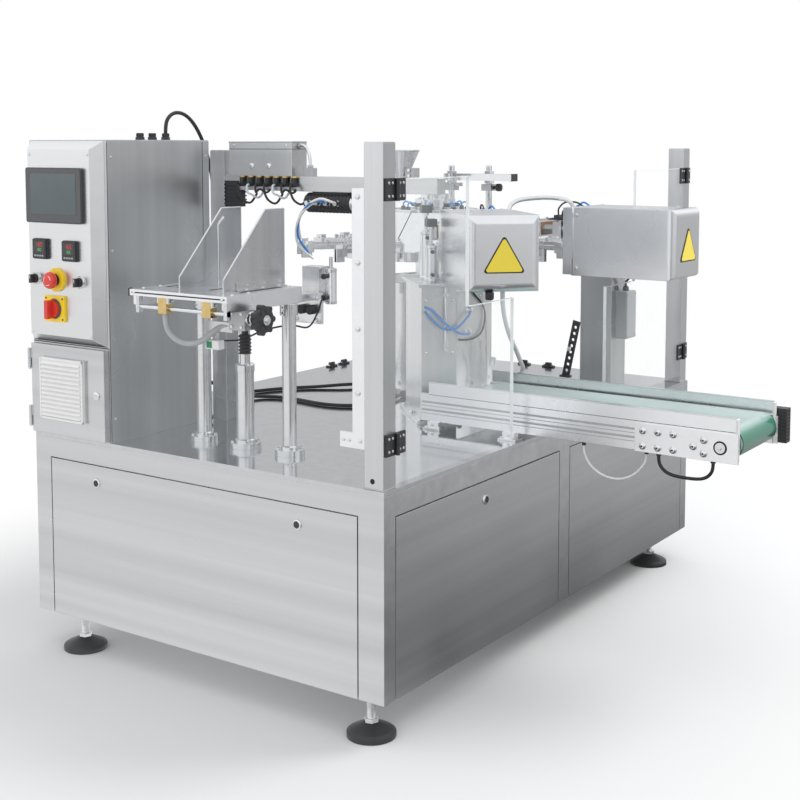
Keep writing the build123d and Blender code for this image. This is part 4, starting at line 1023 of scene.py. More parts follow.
@dataclass
class CabinetDress(Dress):
    """Louver blades, panel screws, hinge pins, glands and seams of the control cabinet."""

    left: float = -1109
    width: float = 280
    depth: float = 366
    height: float = 751
    louver_x: float = -979
    louver_z: float = 123.5
    louver_half: float = 78
    louver_face: float = -26
    slats: int = 13
    gland_y: tuple[float, ...] = (185, 229, 278)

    def louver(self) -> None:
        """Sloping blades over the vent slots, a rim and four screws."""
        blades = self.stock("louver_blades", WHITE, Body.CABINET_DOOR)
        pitch = 2 * self.louver_half / (self.slats + 1)
        half = self.louver_half - 7
        for index in range(self.slats):
            z = self.louver_z - self.louver_half + (index + 1) * pitch
            ring = ((2, z + 3.6), (0, z + 3.6), (-4.6, z - 2.6), (-4.6, z - 3.6), (-3.6, z - 3.6), (2, z + 2))
            rows = np.array([(x, self.louver_face + reach, up) for x in (self.louver_x - half, self.louver_x + half)
                             for reach, up in ring]).reshape(2, len(ring), 3)
            blades.add(carried(rows))
        rim = self.stock("louver_rim", WHITE, Body.CABINET_DOOR, edge=0.8)
        outer = self.louver_half + 1
        for x0, x1, z0, z1 in ((-outer, outer, outer - 6, outer), (-outer, outer, -outer, 6 - outer),
                               (-outer, 6 - outer, -outer, outer), (outer - 6, outer, -outer, outer)):
            rim.add(slab((self.louver_x + x0, self.louver_x + x1), (self.louver_face - 2.4, self.louver_face + 1),
                         (self.louver_z + z0, self.louver_z + z1)))
        screws = self.stock("louver_screws", POLISHED, Body.CABINET_DOOR)
        reach = self.louver_half - 2
        for x, z in product((-reach, reach), (-reach, reach)):
            at = (self.louver_x + x, self.louver_face - 2.2, self.louver_z + z)
            screws.add(dome_screw(at, Y, 2.6, -1))

    def shell(self) -> None:
        """Folded flanges and seams of the cabinet's sheet."""
        right = self.left + self.width
        seams = self.stock("cabinet_seams", SHADOW)
        seams.add(slab((right - 0.4, right + 0.35), (self.depth - 26, self.depth - 24.4), (2, self.height - 2)))
        seams.add(slab((right - 0.4, right + 0.35), (1.4, 2.6), (4, self.height - 4)))
        seams.add(slab((self.left + 2, right - 2), (-1.6, 0.4), (236.5, 238.5)))
        self.stock("cabinet_roof_lip", POST_STEEL, edge=1).add(
            slab((self.left + 1, right - 1), (-0.6, self.depth - 1), (self.height - 0.5, self.height + 2)),
        )
        self.stock("cabinet_foot_sill", FRONT_STEEL, edge=0.8).add(
            slab((self.left + 0.5, right - 0.5), (-6, 0.5), (0, 4.6)),
        )
        screws = self.stock("cabinet_panel_screws", POLISHED)
        for x, z in product((self.left + 34, right - 34), (268, self.height - 34)):
            screws.add(dome_screw((x, -30, z), Y, 4, -1))
        for y, z in product((16, self.depth - 12), (60, 260, 480, self.height - 40)):
            screws.add(dome_screw((right, y, z), X, 3.4))

    def hinges(self) -> None:
        """Pins of the door's hinges and a quarter-turn lock on the door."""
        pins = self.stock("cabinet_hinge_pins", POLISHED, edge=0.4)
        for z in (45, 194):
            pins.add(turned([(z - 29, 3.4), (z - 26.2, 3.9), (z - 26, 5.3), (z - 25, 5.3)],
                            (self.left + 5, -19, 0), Z, 20))
        lock = self.stock("cabinet_door_lock", POLISHED, Body.CABINET_DOOR, edge=0.4)
        at = (self.left + self.width - 30, -18, 120)
        lock.add(turned([(0, 11), (-3, 10.4), (-4, 8.2)], at, Y, 36))
        lock.add(pressed(polygon(3, 4.6, 90), -4, -5.6, Y, at))

    def glands(self) -> None:
        """Domed caps and knurls of the glands on the roof."""
        caps = self.stock("gland_caps", BLACK, edge=0.5)
        x = self.left + 209
        for y in self.gland_y:
            caps.add(turned([(self.height, 15), (self.height + 2.5, 15), (self.height + 3.2, 12)], (x, y, 0)))
            for at in circle((x, y, 0), 9.4, 12):
                caps.add(turned([(self.height + 11, 0.9), (self.height + 18.6, 0.9)], at, Z, 6))

    def shape(self) -> None:
        """Dress the cabinet."""
        self.louver()
        self.shell()
        self.hinges()
        self.glands()


@dataclass
class GuardDress(Dress):
    """Caps, screws and edges of the posts, the channel, the hinges and the clear doors."""

    post_x: Span = (-55, -5)
    posts_y: tuple[Span, Span] = ((5, 50), (1613, 1658))
    tops: Pair = (745, 728)
    axes_y: Pair = (46, 1617)
    hinge_z: Pair = (98, 646)
    sheet_x: Span = (-13.2, -4.8)

    def posts(self) -> None:
        """End caps, the painted shade of the near post's hole, foot weld beads and channel screws."""
        caps = self.stock("post_caps", POLISHED, edge=1)
        for (y0, y1), top in zip(self.posts_y, self.tops):
            caps.add(slab((self.post_x[0] + 0.6, self.post_x[1] - 0.6), (y0 + 0.6, y1 - 0.6), (top - 0.5, top + 2.2)))
        caps.add(slab((-834, -786), (379, 427), (724.5, 727.2)))
        beads = self.stock("post_weld_beads", CASTING)
        for y0, y1 in self.posts_y:
            x0, x1 = self.post_x
            ring = [(x0, y0, 1.2), (x1, y0, 1.2), (x1, y1, 1.2), (x0, y1, 1.2), (x0, y0, 1.2)]
            beads.add(tube(ring, 2, 8, False))
        # painted shade: a thin near-black disc on the near post's foot stands for the shade in its hole
        self.stock("post_foot_hole_shade", SHADOW, edge=0.3).add(
            turned([(0, 6), (-0.5, 6)], (-34, 5, 18.6), Y, 24),
        )
        screws = self.stock("channel_screws", POLISHED)
        for z in (630, 488, 345, 205):
            screws.add(dome_screw((-78, 13, z), Y, 6.5, -1))
        for x in (-117, -102, -72):
            screws.add(dome_screw((x, 13, 100), Y, 4.5, -1))

    def hinges(self) -> None:
        """Four screws on every leaf of the black hinges."""
        doors = (Body.FRONT_DOOR, Body.REAR_DOOR)
        for side, axis_y, door, label in zip((1, -1), self.axes_y, doors, ("front", "rear")):
            fixed = self.stock(f"{label}_post_hinge_screws", POLISHED)
            riding = self.stock(f"{label}_door_hinge_screws", POLISHED, door)
            for z, up in product(self.hinge_z, (-14, 14)):
                for out in (13, 27):
                    fixed.add(dome_screw((0, axis_y - side * out, z + up), X, 3.6))
                    riding.add(dome_screw((0, axis_y + side * out, z + up), X, 3.6))

    def doors(self) -> None:
        """Pale strips on the edges of the clear sheets, a painted highlight where the polished edges catch the light.
        """
        front = self.stock("front_door_edges", CLEAR_EDGE, Body.FRONT_DOOR)
        for y, z in (((348.6, 350.2), (366, 668)), ((559.6, 561.2), (8, 366)),
                     ((350, 561), (365, 366.2)), ((56, 350), (667, 668.2))):
            front.add(slab(self.sheet_x, y, z))
        rear = self.stock("rear_door_edges", CLEAR_EDGE, Body.REAR_DOOR)
        for y, z in (((1266.8, 1268.4), (348, 668)), ((1078.8, 1080.4), (22, 348)),
                     ((1079, 1267), (347, 348.2)), ((1267, 1607), (667, 668.2))):
            rear.add(slab(self.sheet_x, y, z))

    def shape(self) -> None:
        """Dress the guard."""
        self.posts()
        self.hinges()
        self.doors()


@dataclass
class ValveDress(Dress):
    """Valve box on the beam with what hangs under it."""

    box_x: Span = (-762, -550)
    front: float = 372.5
    outlets: int = 7

    def box(self) -> None:
        """Lid, lid seam and screws of the valve box."""
        seams = self.stock("valve_box_seams", SHADOW)
        seams.add(slab((self.box_x[0] + 1, self.box_x[1] - 1), (self.front - 0.4, self.front + 0.5), (729, 730.4)))
        seams.add(slab((self.box_x[1] - 0.5, self.box_x[1] + 0.4), (374, 432), (729, 730.4)))
        screws = self.stock("valve_box_screws", POLISHED)
        for x in (-684, -625.5):
            screws.add(dome_screw((x, self.front, 686), Y, 8, -1))
        for x in (-745, -567):
            screws.add(dome_screw((x, self.front, 739), Y, 3.2, -1))
        self.stock("valve_box_lid", FRONT_STEEL, edge=1.2).add(
            slab((self.box_x[0] - 1.2, self.box_x[1] + 1.2), (self.front - 1.2, 434.7), (746, 750)),
        )

    def outlets_below(self) -> None:
        """Push-in elbows under the box front, their tubes and the dark solenoid next to the post."""
        dark = self.stock("valve_elbows", BLACK, edge=0.6)
        collars = self.stock("valve_elbow_collars", BRASS, edge=0.3)
        tubes = self.stock("valve_tubes", SHEATH)
        pale = self.stock("valve_pale_tubes", PALE_TUBE)
        for index in range(self.outlets):
            x = -722 + index * 29
            dark.add(turned([(660, 7), (641, 7)], (x, 378, 0), Z, 16))
            dark.add(turned([(-9, 6), (7, 6)], (x, 378, 638), Y, 16))
            collars.add(turned([(660.4, 8.6), (656, 8.6)], (x, 378, 0), Z, 6))
            drop = 598 + 14 * (index % 3)
            lead = [(x, 371, 638), (x + 1, 362, 634), (x + 4, 360, 618),
                    (x + 12, 366, drop), (x + 26, 380, drop - 8), (x + 34, 398, drop + 16)]
            (pale if index % 3 == 1 else tubes).add(tube(lead, 3, 8))
        dark.add(slab((-783, -741), (380, 412), (577, 646)))
        for index in range(6):
            z = 584 + index * 10
            dark.add(slab((-786, -738), (377, 414), (z, z + 4)))

    def manifold(self) -> None:
        """Ribbed manifold under the beam with its white and blue tubes."""
        ribbed = self.stock("manifold_body", BLACK, edge=0.6)
        fins = [(-520 + step * 5.5, 22 + 4 * (step % 2)) for step in range(27)]
        ribbed.add(turned(fins, (0, 403, 594), X, 28))
        ribbed.add(slab((-500, -386), (392, 414), (612, 624)))
        ends = self.stock("manifold_ends", POLISHED, edge=0.8)
        ends.add(turned([(-530, 12), (-520, 20), (-519, 20)], (0, 403, 594), X, 28))
        ends.add(turned([(-377, 20), (-374, 20), (-366, 11)], (0, 403, 594), X, 28))
        for x in (-500, -470, -440, -410):
            ends.add(turned([(366, 6), (378, 6), (380, 8)], (x, 0, 594), Y, 16))
        white = self.stock("manifold_white_tubes", WHITE_SHEATH)
        blue = self.stock("manifold_blue_tubes", BLUE_TUBE)
        white.add(tube([(-470, 370, 594), (-474, 352, 590), (-500, 350, 568), (-528, 362, 530),
                        (-536, 380, 486), (-520, 420, 448)], 3.2, 10))
        white.add(tube([(-410, 370, 594), (-412, 354, 600), (-440, 344, 606), (-486, 350, 586),
                        (-524, 366, 548), (-545, 400, 500)], 3.2, 10))
        blue.add(tube([(-440, 370, 594), (-444, 352, 600), (-474, 346, 592), (-512, 356, 556),
                       (-530, 372, 508), (-526, 410, 462)], 3, 10))

    def pipes(self) -> None:
        """Hooked pipe and its block at the end of the box."""
        bend = [(-552, 403, 738), (-541, 403, 739.5), (-527, 403, 734), (-517, 403, 716),
                (-513.5, 403, 690), (-513.5, 403, 662)]
        self.stock("hooked_pipe", POLISHED).add(tube(bend, 4.2, 14))
        block = self.stock("hooked_pipe_block", CASTING, edge=1)
        block.add(slab((-528, -500), (392, 414), (659, 682)))
        block.add(hex_nut((-513.5, 403, 682), Z, 8.5, 7))
        block.add(hex_nut((-550, 403, 738.5), X, 8.5, 6))

    def shape(self) -> None:
        """Dress the valve box and the beam."""
        self.box()
        self.outlets_below()
        self.manifold()
        self.pipes()


@dataclass
class MagazineDress(Dress):
    """Bolts, clamps, slots and fittings of the pouch magazine."""

    columns: tuple[Point, ...] = ((-671, 18, 34), (-533, 22, 39), (-393, 17, 36))
    depth: float = 165
    top: float = 403
    plates_x: Pair = (-573, -436)

    def feet(self) -> None:
        """Flange bolts and collars of the three columns."""
        bolts = self.stock("column_flange_bolts", POLISHED, edge=0.4)
        sockets = self.stock("column_bolt_sockets", SHADOW)
        collars = self.stock("column_collars", POLISHED, edge=0.6)
        for x, radius, flange in self.columns:
            reach = (radius + flange) / 2 + 1
            for at in circle((x, self.depth, 14), reach, 4, 45):
                head, inset = socket_screw(at, Z, 4.6)
                bolts.add(head)
                sockets.add(inset)
            collars.add(turned([(13, radius + 4), (20, radius + 4), (23, radius + 0.3), (23, radius - 4),
                                (13, radius - 4)], (x, self.depth, 0), Z, 40, True))
        collars.add(turned([(188, 23.6), (205, 23.6), (208, 20), (208, 12.6), (188, 12.6)],
                           (-533, self.depth, 0), Z, 40, True))
        for x, radius in ((-671, 18), (-393, 17)):
            collars.add(turned([(337, radius + 5), (364.5, radius + 5), (364.5, radius - 2), (337, radius - 2)],
                               (x, self.depth, 0), Z, 40, True))
            for z in (344, 357):
                head, inset = socket_screw((x, self.depth - radius - 4, z), Y, 3.6, -1)
                bolts.add(head)
                sockets.add(inset)

    def deck(self) -> None:
        """Slots, screws and angle feet on the magazine's deck and front bar."""
        slots = self.stock("magazine_deck_slots", SHADOW)
        for x in (-640, -606, -504, -410):
            outline = rounded(9, 150, 4.4, 6, (x, 84))
            slots.add(pressed(outline, self.top - 0.5, self.top + 0.3))
        slots.add(slab((-676, -384), (-71.4, -70.6), (394, 397)))
        feet = self.stock("side_plate_angles", POST_STEEL, edge=0.5)
        for x, sign in zip(self.plates_x, (-1, 1)):
            low, high = sorted((x + sign * 1.5, x + sign * 20))
            feet.add(slab((low, high), (24, 188), (self.top, self.top + 3)))
            low, high = sorted((x + sign * 1.5, x + sign * 4.5))
            feet.add(slab((low, high), (24, 188), (self.top, self.top + 20)))
        screws = self.stock("magazine_screws", POLISHED)
        for x, sign in zip(self.plates_x, (-1, 1)):
            for y in (48, 106, 164):
                screws.add(dome_screw((x + sign * 12, y, self.top + 3), Z, 4.6))
                screws.add(dome_screw((x + sign * 4.5, y + 14, self.top + 12), X, 3.6, sign))
        for x, y in product((-671, -393), (-36, 20, 176)):
            screws.add(dome_screw((x, y, self.top), Z, 4.2))
        for x in (-668, -392):
            screws.add(dome_screw((x, -71, 395.5), Y, 4.2, -1))
        # painted highlight: bright polished tubes along the side plates' edges stand for the light on those edges
        edge_highlights = self.stock("side_plate_edge_highlights", POLISHED, edge=0.3)
        corners = ((-17, 404), (-17, 433), (130, 588), (200, 588), (200, 404))
        for x in self.plates_x:
            for (y0, z0), (y1, z1) in zip(corners[:-1], corners[1:]):
                edge_highlights.add(tube([(x, y0, z0), (x, y1, z1)], 2.1, 8, False))

    def front(self) -> None:
        """White guide blocks, knobs and rod ends along the front rod."""
        white = self.stock("magazine_guide_blocks", WHITE, edge=1)
        screws = self.stock("magazine_clamp_screws", POLISHED, edge=0.3)
        for x in self.plates_x:
            white.add(slab((x - 17, x + 17), (-74.5, -54.5), (375, 388)))
            screws.add(hex_nut((x + 13, -64.5, 381), X, 4.6, 4))
            screws.add(turned([(17, 2.4), (24, 2.4)], (x, -64.5, 381), X, 12))
        for x, out in ((-657.5, -1), (-383, 1)):
            screws.add(hex_nut((x, -64.5, 363), X, 8, 5 * out))
        self.stock("magazine_clamp_knobs", BLACK, edge=0.8).add(slab((-690, -684), (-69, -60), (386, 405)))

    def drive(self) -> None:
        """Hub, dial, regulator and sensor around the handwheel."""
        hub = self.stock("handwheel_hub", POLISHED, Body.HANDWHEEL, edge=0.5)
        hub.add(turned([(-337.5, 12.5), (-331.5, 11.6), (-331, 7)], (0, 13, 345), X, 32))
        hub.add(hex_nut((-331.2, 13, 345), X, 7, 5))
        grips = self.stock("handwheel_grooves", BLACK, Body.HANDWHEEL, edge=1.2)
        for index in range(7):
            turn = math.radians((index + 0.5) * 360 / 7)
            at = (-345, 13 + 20 * math.cos(turn), 345 + 20 * math.sin(turn))
            grips.add(turned([(-9.4, 4.6), (9.4, 4.6)], at, X, 16))
        dial = [(-384.5, 17), (-378, 17), (-375, 12), (-372, 12), (-372, 6.6), (-384.5, 6.6)]
        self.stock("handwheel_dial", TURNED, edge=0.5).add(turned(dial, (0, 13, 345), X, 40, True))
        bolts = self.stock("bearing_bolts", POLISHED, edge=0.3)
        for x, z in product((-422, -393), (326, 357)):
            head, _ = socket_screw((x, -5, z), Y, 3.8, -1)
            bolts.add(head)
        finned = self.stock("finned_regulator", BLACK, edge=0.5)
        fins = [(264 + step * 4, 15.5 - 3.5 * (step % 2)) for step in range(12)]
        finned.add(turned(fins, (-398, 12, 0), Z, 28))
        finned.add(turned([(308, 8), (318.5, 8)], (-398, 12, 0), Z, 16))
        bracket = self.stock("magazine_sensor_bracket", POST_STEEL, edge=0.6)
        bracket.add(slab((-508, -430), (5, 9), (309, 333)))
        bracket.add(slab((-486, -482), (4, 18), (286, 312)))
        self.stock("magazine_sensor", WHITE, edge=0.8).add(slab((-504, -463), (-6, 14), (268, 289)))
        self.stock("magazine_sensor_front", GREEN_PLASTIC, edge=0.3).add(
            slab((-500, -484), (-7, -5.5), (271, 286)),
        )

    def pickup(self) -> None:
        """End caps, ports, cup bellows and screws of the pick-up unit."""
        steel = self.stock("pickup_cylinder_caps", POLISHED, edge=0.6)
        steel.add(turned([(355, 14.2), (363, 14.2)], (-354.8, 280, 0), Z, 28))
        steel.add(turned([(432, 14.2), (441, 14.2), (443, 11)], (-354.8, 280, 0), Z, 28))
        steel.add(turned([(443, 4.5), (470, 4.5)], (-354.8, 280, 0), Z, 16))
        for x, z in ((-438, 369), (-376, 369), (-438, 316), (-376, 316)):
            steel.add(dome_screw((x, 252, z), Y, 5, -1))
        dark = self.stock("pickup_ports", BLACK, edge=0.5)
        for z in (372, 424):
            dark.add(turned([(0, 5.5), (-16, 5.5)], (-354.8, 268, z), Y, 14))
            dark.add(turned([(0, 7), (-5, 7)], (-354.8, 254, z), Y, 14))
        for x in (-416, -388):
            folds = [(252 - step * 3, 9 + 3 * (step % 2)) for step in range(7)]
            dark.add(turned(folds, (x, 0, 342), Y, 20))
        lead = [(-354.8, 250, 372), (-352, 238, 366), (-360, 232, 336), (-392, 236, 300), (-440, 226, 302),
                (-500, 200, 288), (-560, 186, 262), (-640, 196, 250), (-668, 190, 242)]
        self.stock("pickup_lead", SHEATH).add(tube(lead, 2.2, 8))

    def shape(self) -> None:
        """Dress the magazine."""
        self.feet()
        self.deck()
        self.front()
        self.drive()
        self.pickup()


@dataclass
class TurretDress(Dress):
    """Springs, rollers, pads and bolts of the rotor and its grippers."""

    centre: Point = (-625, 1160, 0)
    stations: int = 8
    spread: float = 9
    arm_z: float = 430

    def arm_angles(self) -> list[float]:
        """Angle of every gripper arm."""
        stations = [index * 360 / self.stations for index in range(self.stations)]
        return [station + side * self.spread for station in stations for side in (-1, 1)]

    def arms(self) -> None:
        """Pivot pins, return springs, finger pads and screws of every gripper."""
        pins = self.stock("gripper_pins", POLISHED, Body.TURRET, edge=0.4)
        springs = self.stock("gripper_springs", SPRING, Body.TURRET)
        pads = self.stock("gripper_pads", SHEATH, Body.TURRET, edge=0.3)
        z = self.arm_z
        for angle in self.arm_angles():
            side = 1 if (angle + 360) % 45 < 22.5 else -1
            parts = [
                turned([(z + 26, 11), (z + 31, 11), (z + 33, 8)], (259, 0, 0), Z, 24),
                hex_nut((259, 0, z + 33), Z, 7, 5),
                turned([(z + 14, 5), (z + 27, 5)], (346, 0, 0), Z, 14),
                turned([(-16, 3.4), (16, 3.4)], (402, 0, z + 16), Y, 12),
                dome_screw((392, 8, z + 24), Z, 3.2),
                dome_screw((392, -8, z + 24), Z, 3.2),
            ]
            pins.add(*[moved(part, self.centre, angle) for part in parts])
            wound = coil((268, side * 13, z + 20), (346, side * 6, z + 22), 4.6, 0.95, 9)
            springs.add(moved(wound, self.centre, angle))
            for out in (-2.4, 0.9):
                pad = slab((398, 425.6), (out, out + 1.5), (z - 23, z - 2))
                pads.add(moved(pad, self.centre, angle))

    def rotor(self) -> None:
        """Rim bead, hood bolts, hub bolts and air ports of the rotor."""
        steel = self.stock("rotor_bolts", POLISHED, Body.TURRET, edge=0.4)
        x, y, _ = self.centre
        steel.add(*[hex_nut(at, Z, 6.5, 5) for at in circle((x, y, 430), 288, 24, 7.5)])
        steel.add(*[hex_nut(at, Z, 6, 4.5) for at in circle((x, y, 575), 53, 6)])
        steel.add(turned([(405, 300.5), (405, 303.5), (433, 303.5), (433, 300.5)], self.centre, Z, 96, True))
        steel.add(turned([(539, 128), (539, 133), (546, 133), (546, 128)], self.centre, Z, 72, True))
        ports = self.stock("rotor_air_ports", BLACK, Body.TURRET, edge=0.4)
        loops = self.stock("rotor_air_loops", BLUE_TUBE, Body.TURRET)
        for index in range(8):
            angle = index * 45 + 22.5
            ports.add(moved(turned([(541, 7), (553, 7), (553.5, 5)], (100, 0, 0), Z, 14), self.centre, angle))
            ports.add(moved(turned([(0, 6), (13, 6)], (61, 0, 558), X, 14), self.centre, angle))
            loop = tube([(100, 0, 552), (99, 0, 562), (92, 0, 567), (82, 0, 563), (73, 0, 558)], 2.6, 8)
            loops.add(moved(loop, self.centre, angle))
        seam = self.stock("hood_seams", SHADOW, Body.TURRET)
        for index in range(8):
            path = [(233, 0, 431), (181.6, 0, 486.2), (130.4, 0, 541.6)]
            seam.add(moved(tube(path, 0.9, 6, False), self.centre, index * 45))

    def base(self) -> None:
        """Bolts, gasket and cam ring of the fixed drum."""
        steel = self.stock("turret_flange_bolts", POLISHED, edge=0.4)
        x, y, _ = self.centre
        steel.add(*[hex_nut(at, Z, 9, 7) for at in circle((x, y, 20), 205, 16, 11.25)])
        steel.add(turned([(300, 174), (300, 186), (330, 186), (333, 182), (333, 174)],
                         self.centre, Z, 96, True))
        self.stock("turret_gasket", SHEATH).add(
            turned([(0.1, 222), (0.1, 229), (3, 229), (3, 222)], self.centre, Z, 96, True),
        )

    def shape(self) -> None:
        """Dress the turret."""
        self.arms()
        self.rotor()
        self.base()


@dataclass
class SealDress(Dress):
    """Warning plates, screws, tapes, springs and tubes of the two seal stations."""

    centre: Point = (-625, 1160, 0)
    angles: Pair = (-45, 0)
    reach: float = 825
    start: float = 519
    half: float = 94
    cover_z: Span = (375, 567)

    def put(self, stock: Stock, angle: float, *shells: Shell) -> None:
        """Add a station's shells, made with x outwards from the turret's middle, to a stock."""
        stock.add(*[moved(shell, self.centre, angle) for shell in shells])

    def triangle(self, size: float, round_r: float, out: Span, lift: float = 455) -> Shell:
        """A triangular plate with round corners on a cover's end.

        Args:
            size: Distance of a sharp corner from the middle.
            round_r: Corner radius.
            out: Near and far distance along x.
            lift: Height of its middle.

        Returns:
            The shell.
        """
        turn = np.radians((90, 210, 330))
        inner = (size - 2 * round_r) * np.stack((np.cos(turn), np.sin(turn)), axis=1)
        fan = np.radians(np.linspace(-60, 60, 7))
        arcs = turn[:, None] + fan[None, :]
        outline = (inner[:, None, :] + round_r * np.stack((np.cos(arcs), np.sin(arcs)), axis=-1)).reshape(-1, 2)
        return pressed(outline.tolist(), out[0], out[1], X, (0, 0, lift))

    def plates(self) -> None:
        """Yellow triangular plates with a dark rim, left bare."""
        rim = self.stock("warning_plate_rims", SHEATH, edge=0.3)
        face = self.stock("warning_plates", SIGN_YELLOW, edge=0.2)
        for angle in self.angles:
            self.put(rim, angle, self.triangle(64, 6, (824.8, 826.2)))
            self.put(face, angle, self.triangle(57.5, 5, (826, 826.8)))

    def covers(self) -> None:
        """Seams, cap screws, the collar gasket and the gland under the left cover."""
        screws = self.stock("cover_screws", POLISHED, edge=0.3)
        seams = self.stock("cover_seams", SHADOW)
        lips = self.stock("cover_lips", POLISHED, edge=0.8)
        low, high = self.cover_z
        for angle in self.angles:
            parts = []
            for y in (-70, 70):
                parts.append(dome_screw((self.start + 14, y, high), Z, 5))
                parts.append(dome_screw((self.reach - 60, y, high), Z, 4))
            for sign, z in product((-1, 1), (low + 22, high - 22)):
                parts.append(dome_screw((self.start + 14, sign * self.half, z), Y, 5, sign))
            self.put(screws, angle, *parts)
            ring = rounded(2 * self.half + 1.6, high - low + 1.6, 3, 4, (0, (low + high) / 2))
            self.put(lips, angle, pressed(ring, self.start - 1, self.start + 5, X))
            for y in (-86, 84.6):
                bottom = slab((self.start + 8, self.reach - 24), (y, y + 1.4), (low - 0.5, low + 0.5))
                self.put(seams, angle, bottom)
        gland = self.stock("cover_gland", BLACK, edge=0.6)
        gland.add(pressed(polygon(6, 13), 361.5, 375.2, Z, (-122, 708, 0)))
        gland.add(turned([(375.2, 11), (360, 11), (356, 8.6)], (-74, 561, 0), Z, 20))

    def jaws(self) -> None:
        """Tapes, return springs, rod nuts, heater leads and couplings of the seal jaws."""
        tape = self.stock("jaw_tapes", TAPE, edge=0.2)
        springs = self.stock("jaw_springs", SPRING)
        steel = self.stock("jaw_rod_nuts", POLISHED, edge=0.5)
        dark = self.stock("jaw_terminals", BLACK, edge=0.5)
        leads = self.stock("jaw_heater_leads", SHEATH)
        blue = self.stock("jaw_air_tubes", BLUE_TUBE)
        for angle in self.angles:
            self.put(
                tape, angle, slab((413.8, 415.2), (-82, 82), (484, 520)),
                slab((450.8, 452.2), (-82, 82), (484, 520)),
            )
            for y in (-66, 66):
                self.put(springs, angle, coil((416, y, 502), (450, y, 502), 11, 1.5, 6))
                self.put(
                    steel, angle, hex_nut((374, y, 502), X, 10.5, -8),
                    turned([(366, 6.2), (359, 6.2)], (0, y, 502), X, 16),
                )
                self.put(steel, angle, socket_screw((478, y * 0.55, 528), Z, 4.5)[0])
            for y in (-52, 0, 52):
                self.put(
                    steel, angle, socket_screw((388, y, 528), Z, 4.5)[0],
                    socket_screw((384, y * 0.8, 502), X, 4.5, -1)[0],
                )
            self.put(
                dark, angle, slab((455, 472), (-62, -34), (522, 536)), slab((395, 412), (30, 58), (522, 536)),
                turned([(522, 6.5), (541, 6.5), (543, 5)], (463, 26, 0), Z, 16),
                turned([(522, 6.5), (541, 6.5), (543, 5)], (463, 48, 0), Z, 16),
            )
            self.put(
                leads, angle, tube([(463, -48, 535), (465, -47, 552), (478, -44, 562), (492, -42, 556)], 2.6, 8),
                tube([(403, 44, 535), (405, 43, 556), (430, 38, 574), (468, 34, 574), (494, 32, 560)], 2.6, 8),
            )
            self.put(
                blue, angle, tube([(463, 26, 542), (464, 28, 556), (474, 32, 566), (490, 40, 562)], 2.8, 8),
                tube([(463, 48, 542), (464, 50, 562), (478, 56, 574), (496, 62, 564)], 2.8, 8),
            )

    def stands(self) -> None:
        """Foot flanges, bolts, the fitting plate, its tubes and the cylinder on the left stand."""
        left, right = self.angles
        feet = self.stock("stand_feet", POST_STEEL, edge=1)
        self.put(feet, left, slab((348, 596), (-174, -51), (0, 9)))
        self.put(feet, right, slab((455, 580), (52, 173), (0, 9)))
        self.put(feet, left, slab((352, 592), (-170, -55), (366, 374.8)))
        self.put(feet, right, slab((458, 577), (55, 170), (366, 374.8)))
        bolts = self.stock("stand_bolts", POLISHED, edge=0.4)
        for x in (355, 470, 589):
            self.put(bolts, left, hex_nut((x, -167, 9), Z, 6.5, 5), hex_nut((x, -58, 9), Z, 6.5, 5))
        for x in (462, 573):
            self.put(bolts, right, hex_nut((x, 59, 9), Z, 6, 5), hex_nut((x, 166, 9), Z, 6, 5))
        for y, z in product((-148, -77), (60, 190, 330)):
            self.put(bolts, left, dome_screw((582, y, z), X, 4.5))
        self.put(
            self.stock("fitting_plate", POST_STEEL, edge=0.8), left, slab((555, 560), (-66, 14), (215, 348)),
            slab((548, 582), (-67, -61), (215, 348)),
        )
        rod = self.stock("stand_bright_rod", POLISHED, edge=0.4)
        self.put(
            rod, left, turned([(196, 5.5), (366, 5.5)], (593, -96, 0), Z, 18),
            slab((581, 600), (-104, -88), (205, 217)), slab((581, 600), (-104, -88), (340, 352)),
        )
        for y, z in ((-25, 300), (-28, 240)):
            self.put(rod, left, turned([(560, 10), (566, 10), (567, 7), (580, 7)], (0, y, z), X, 20))
        for y, z in ((-55, 338), (4, 338), (4, 224), (-55, 224)):
            self.put(rod, left, dome_screw((560, y, z), X, 3.6))
        runs = (
            [(584, -150, 300), (596, -138, 286), (606, -108, 258), (604, -70, 258), (592, -38, 284), (582, -26, 299)],
            [(584, -150, 312), (598, -132, 304), (612, -100, 270), (610, -66, 246), (594, -40, 240), (582, -29, 240)],
        )
        blue = self.stock("stand_blue_tubes", BLUE_TUBE)
        self.put(blue, left, *[tube(run, 3.2, 10) for run in runs])
        loop = [(566, -24, 372), (572, -16, 346), (576, 6, 318), (577, 14, 286),
                (575, 6, 244), (570, -16, 224), (566, -44, 220), (572, -66, 224)]
        self.put(self.stock("stand_dark_loop", SHEATH), left, tube(loop, 2.4, 8))
        self.cylinders(left)

    def cylinders(self, angle: float) -> None:
        """Upright air cylinder with its crosshead on top of the left stand.

        Args:
            angle: Angle of the station.
        """
        body = self.stock("stand_air_cylinders", ALUMINIUM, edge=0.8)
        steel = self.stock("stand_cylinder_rods", POLISHED, edge=0.5)
        dark = self.stock("stand_cylinder_ports", BLACK, edge=0.5)
        for x, y, high in ((452, -122, 505), (500, -118, 470)):
            barrel = [(374.8, 17), (382, 17), (383, 15), (high - 8, 15), (high - 7, 17), (high, 17)]
            self.put(body, angle, turned(barrel, (x, y, 0), Z, 28))
            self.put(
                steel, angle, turned([(high, 5), (high + 60, 5)], (x, y, 0), Z, 16),
                hex_nut((x, y, high), Z, 9.5, 6), hex_nut((x, y, high + 44), Z, 8.5, 7),
            )
            self.put(
                dark, angle, turned([(15, 5), (28, 5)], (x, y, 392), X, 12),
                turned([(15, 5), (28, 5)], (x, y, high - 16), X, 12),
                slab((x - 18, x + 18), (y - 14, y + 14), (high + 51, high + 72)),
            )

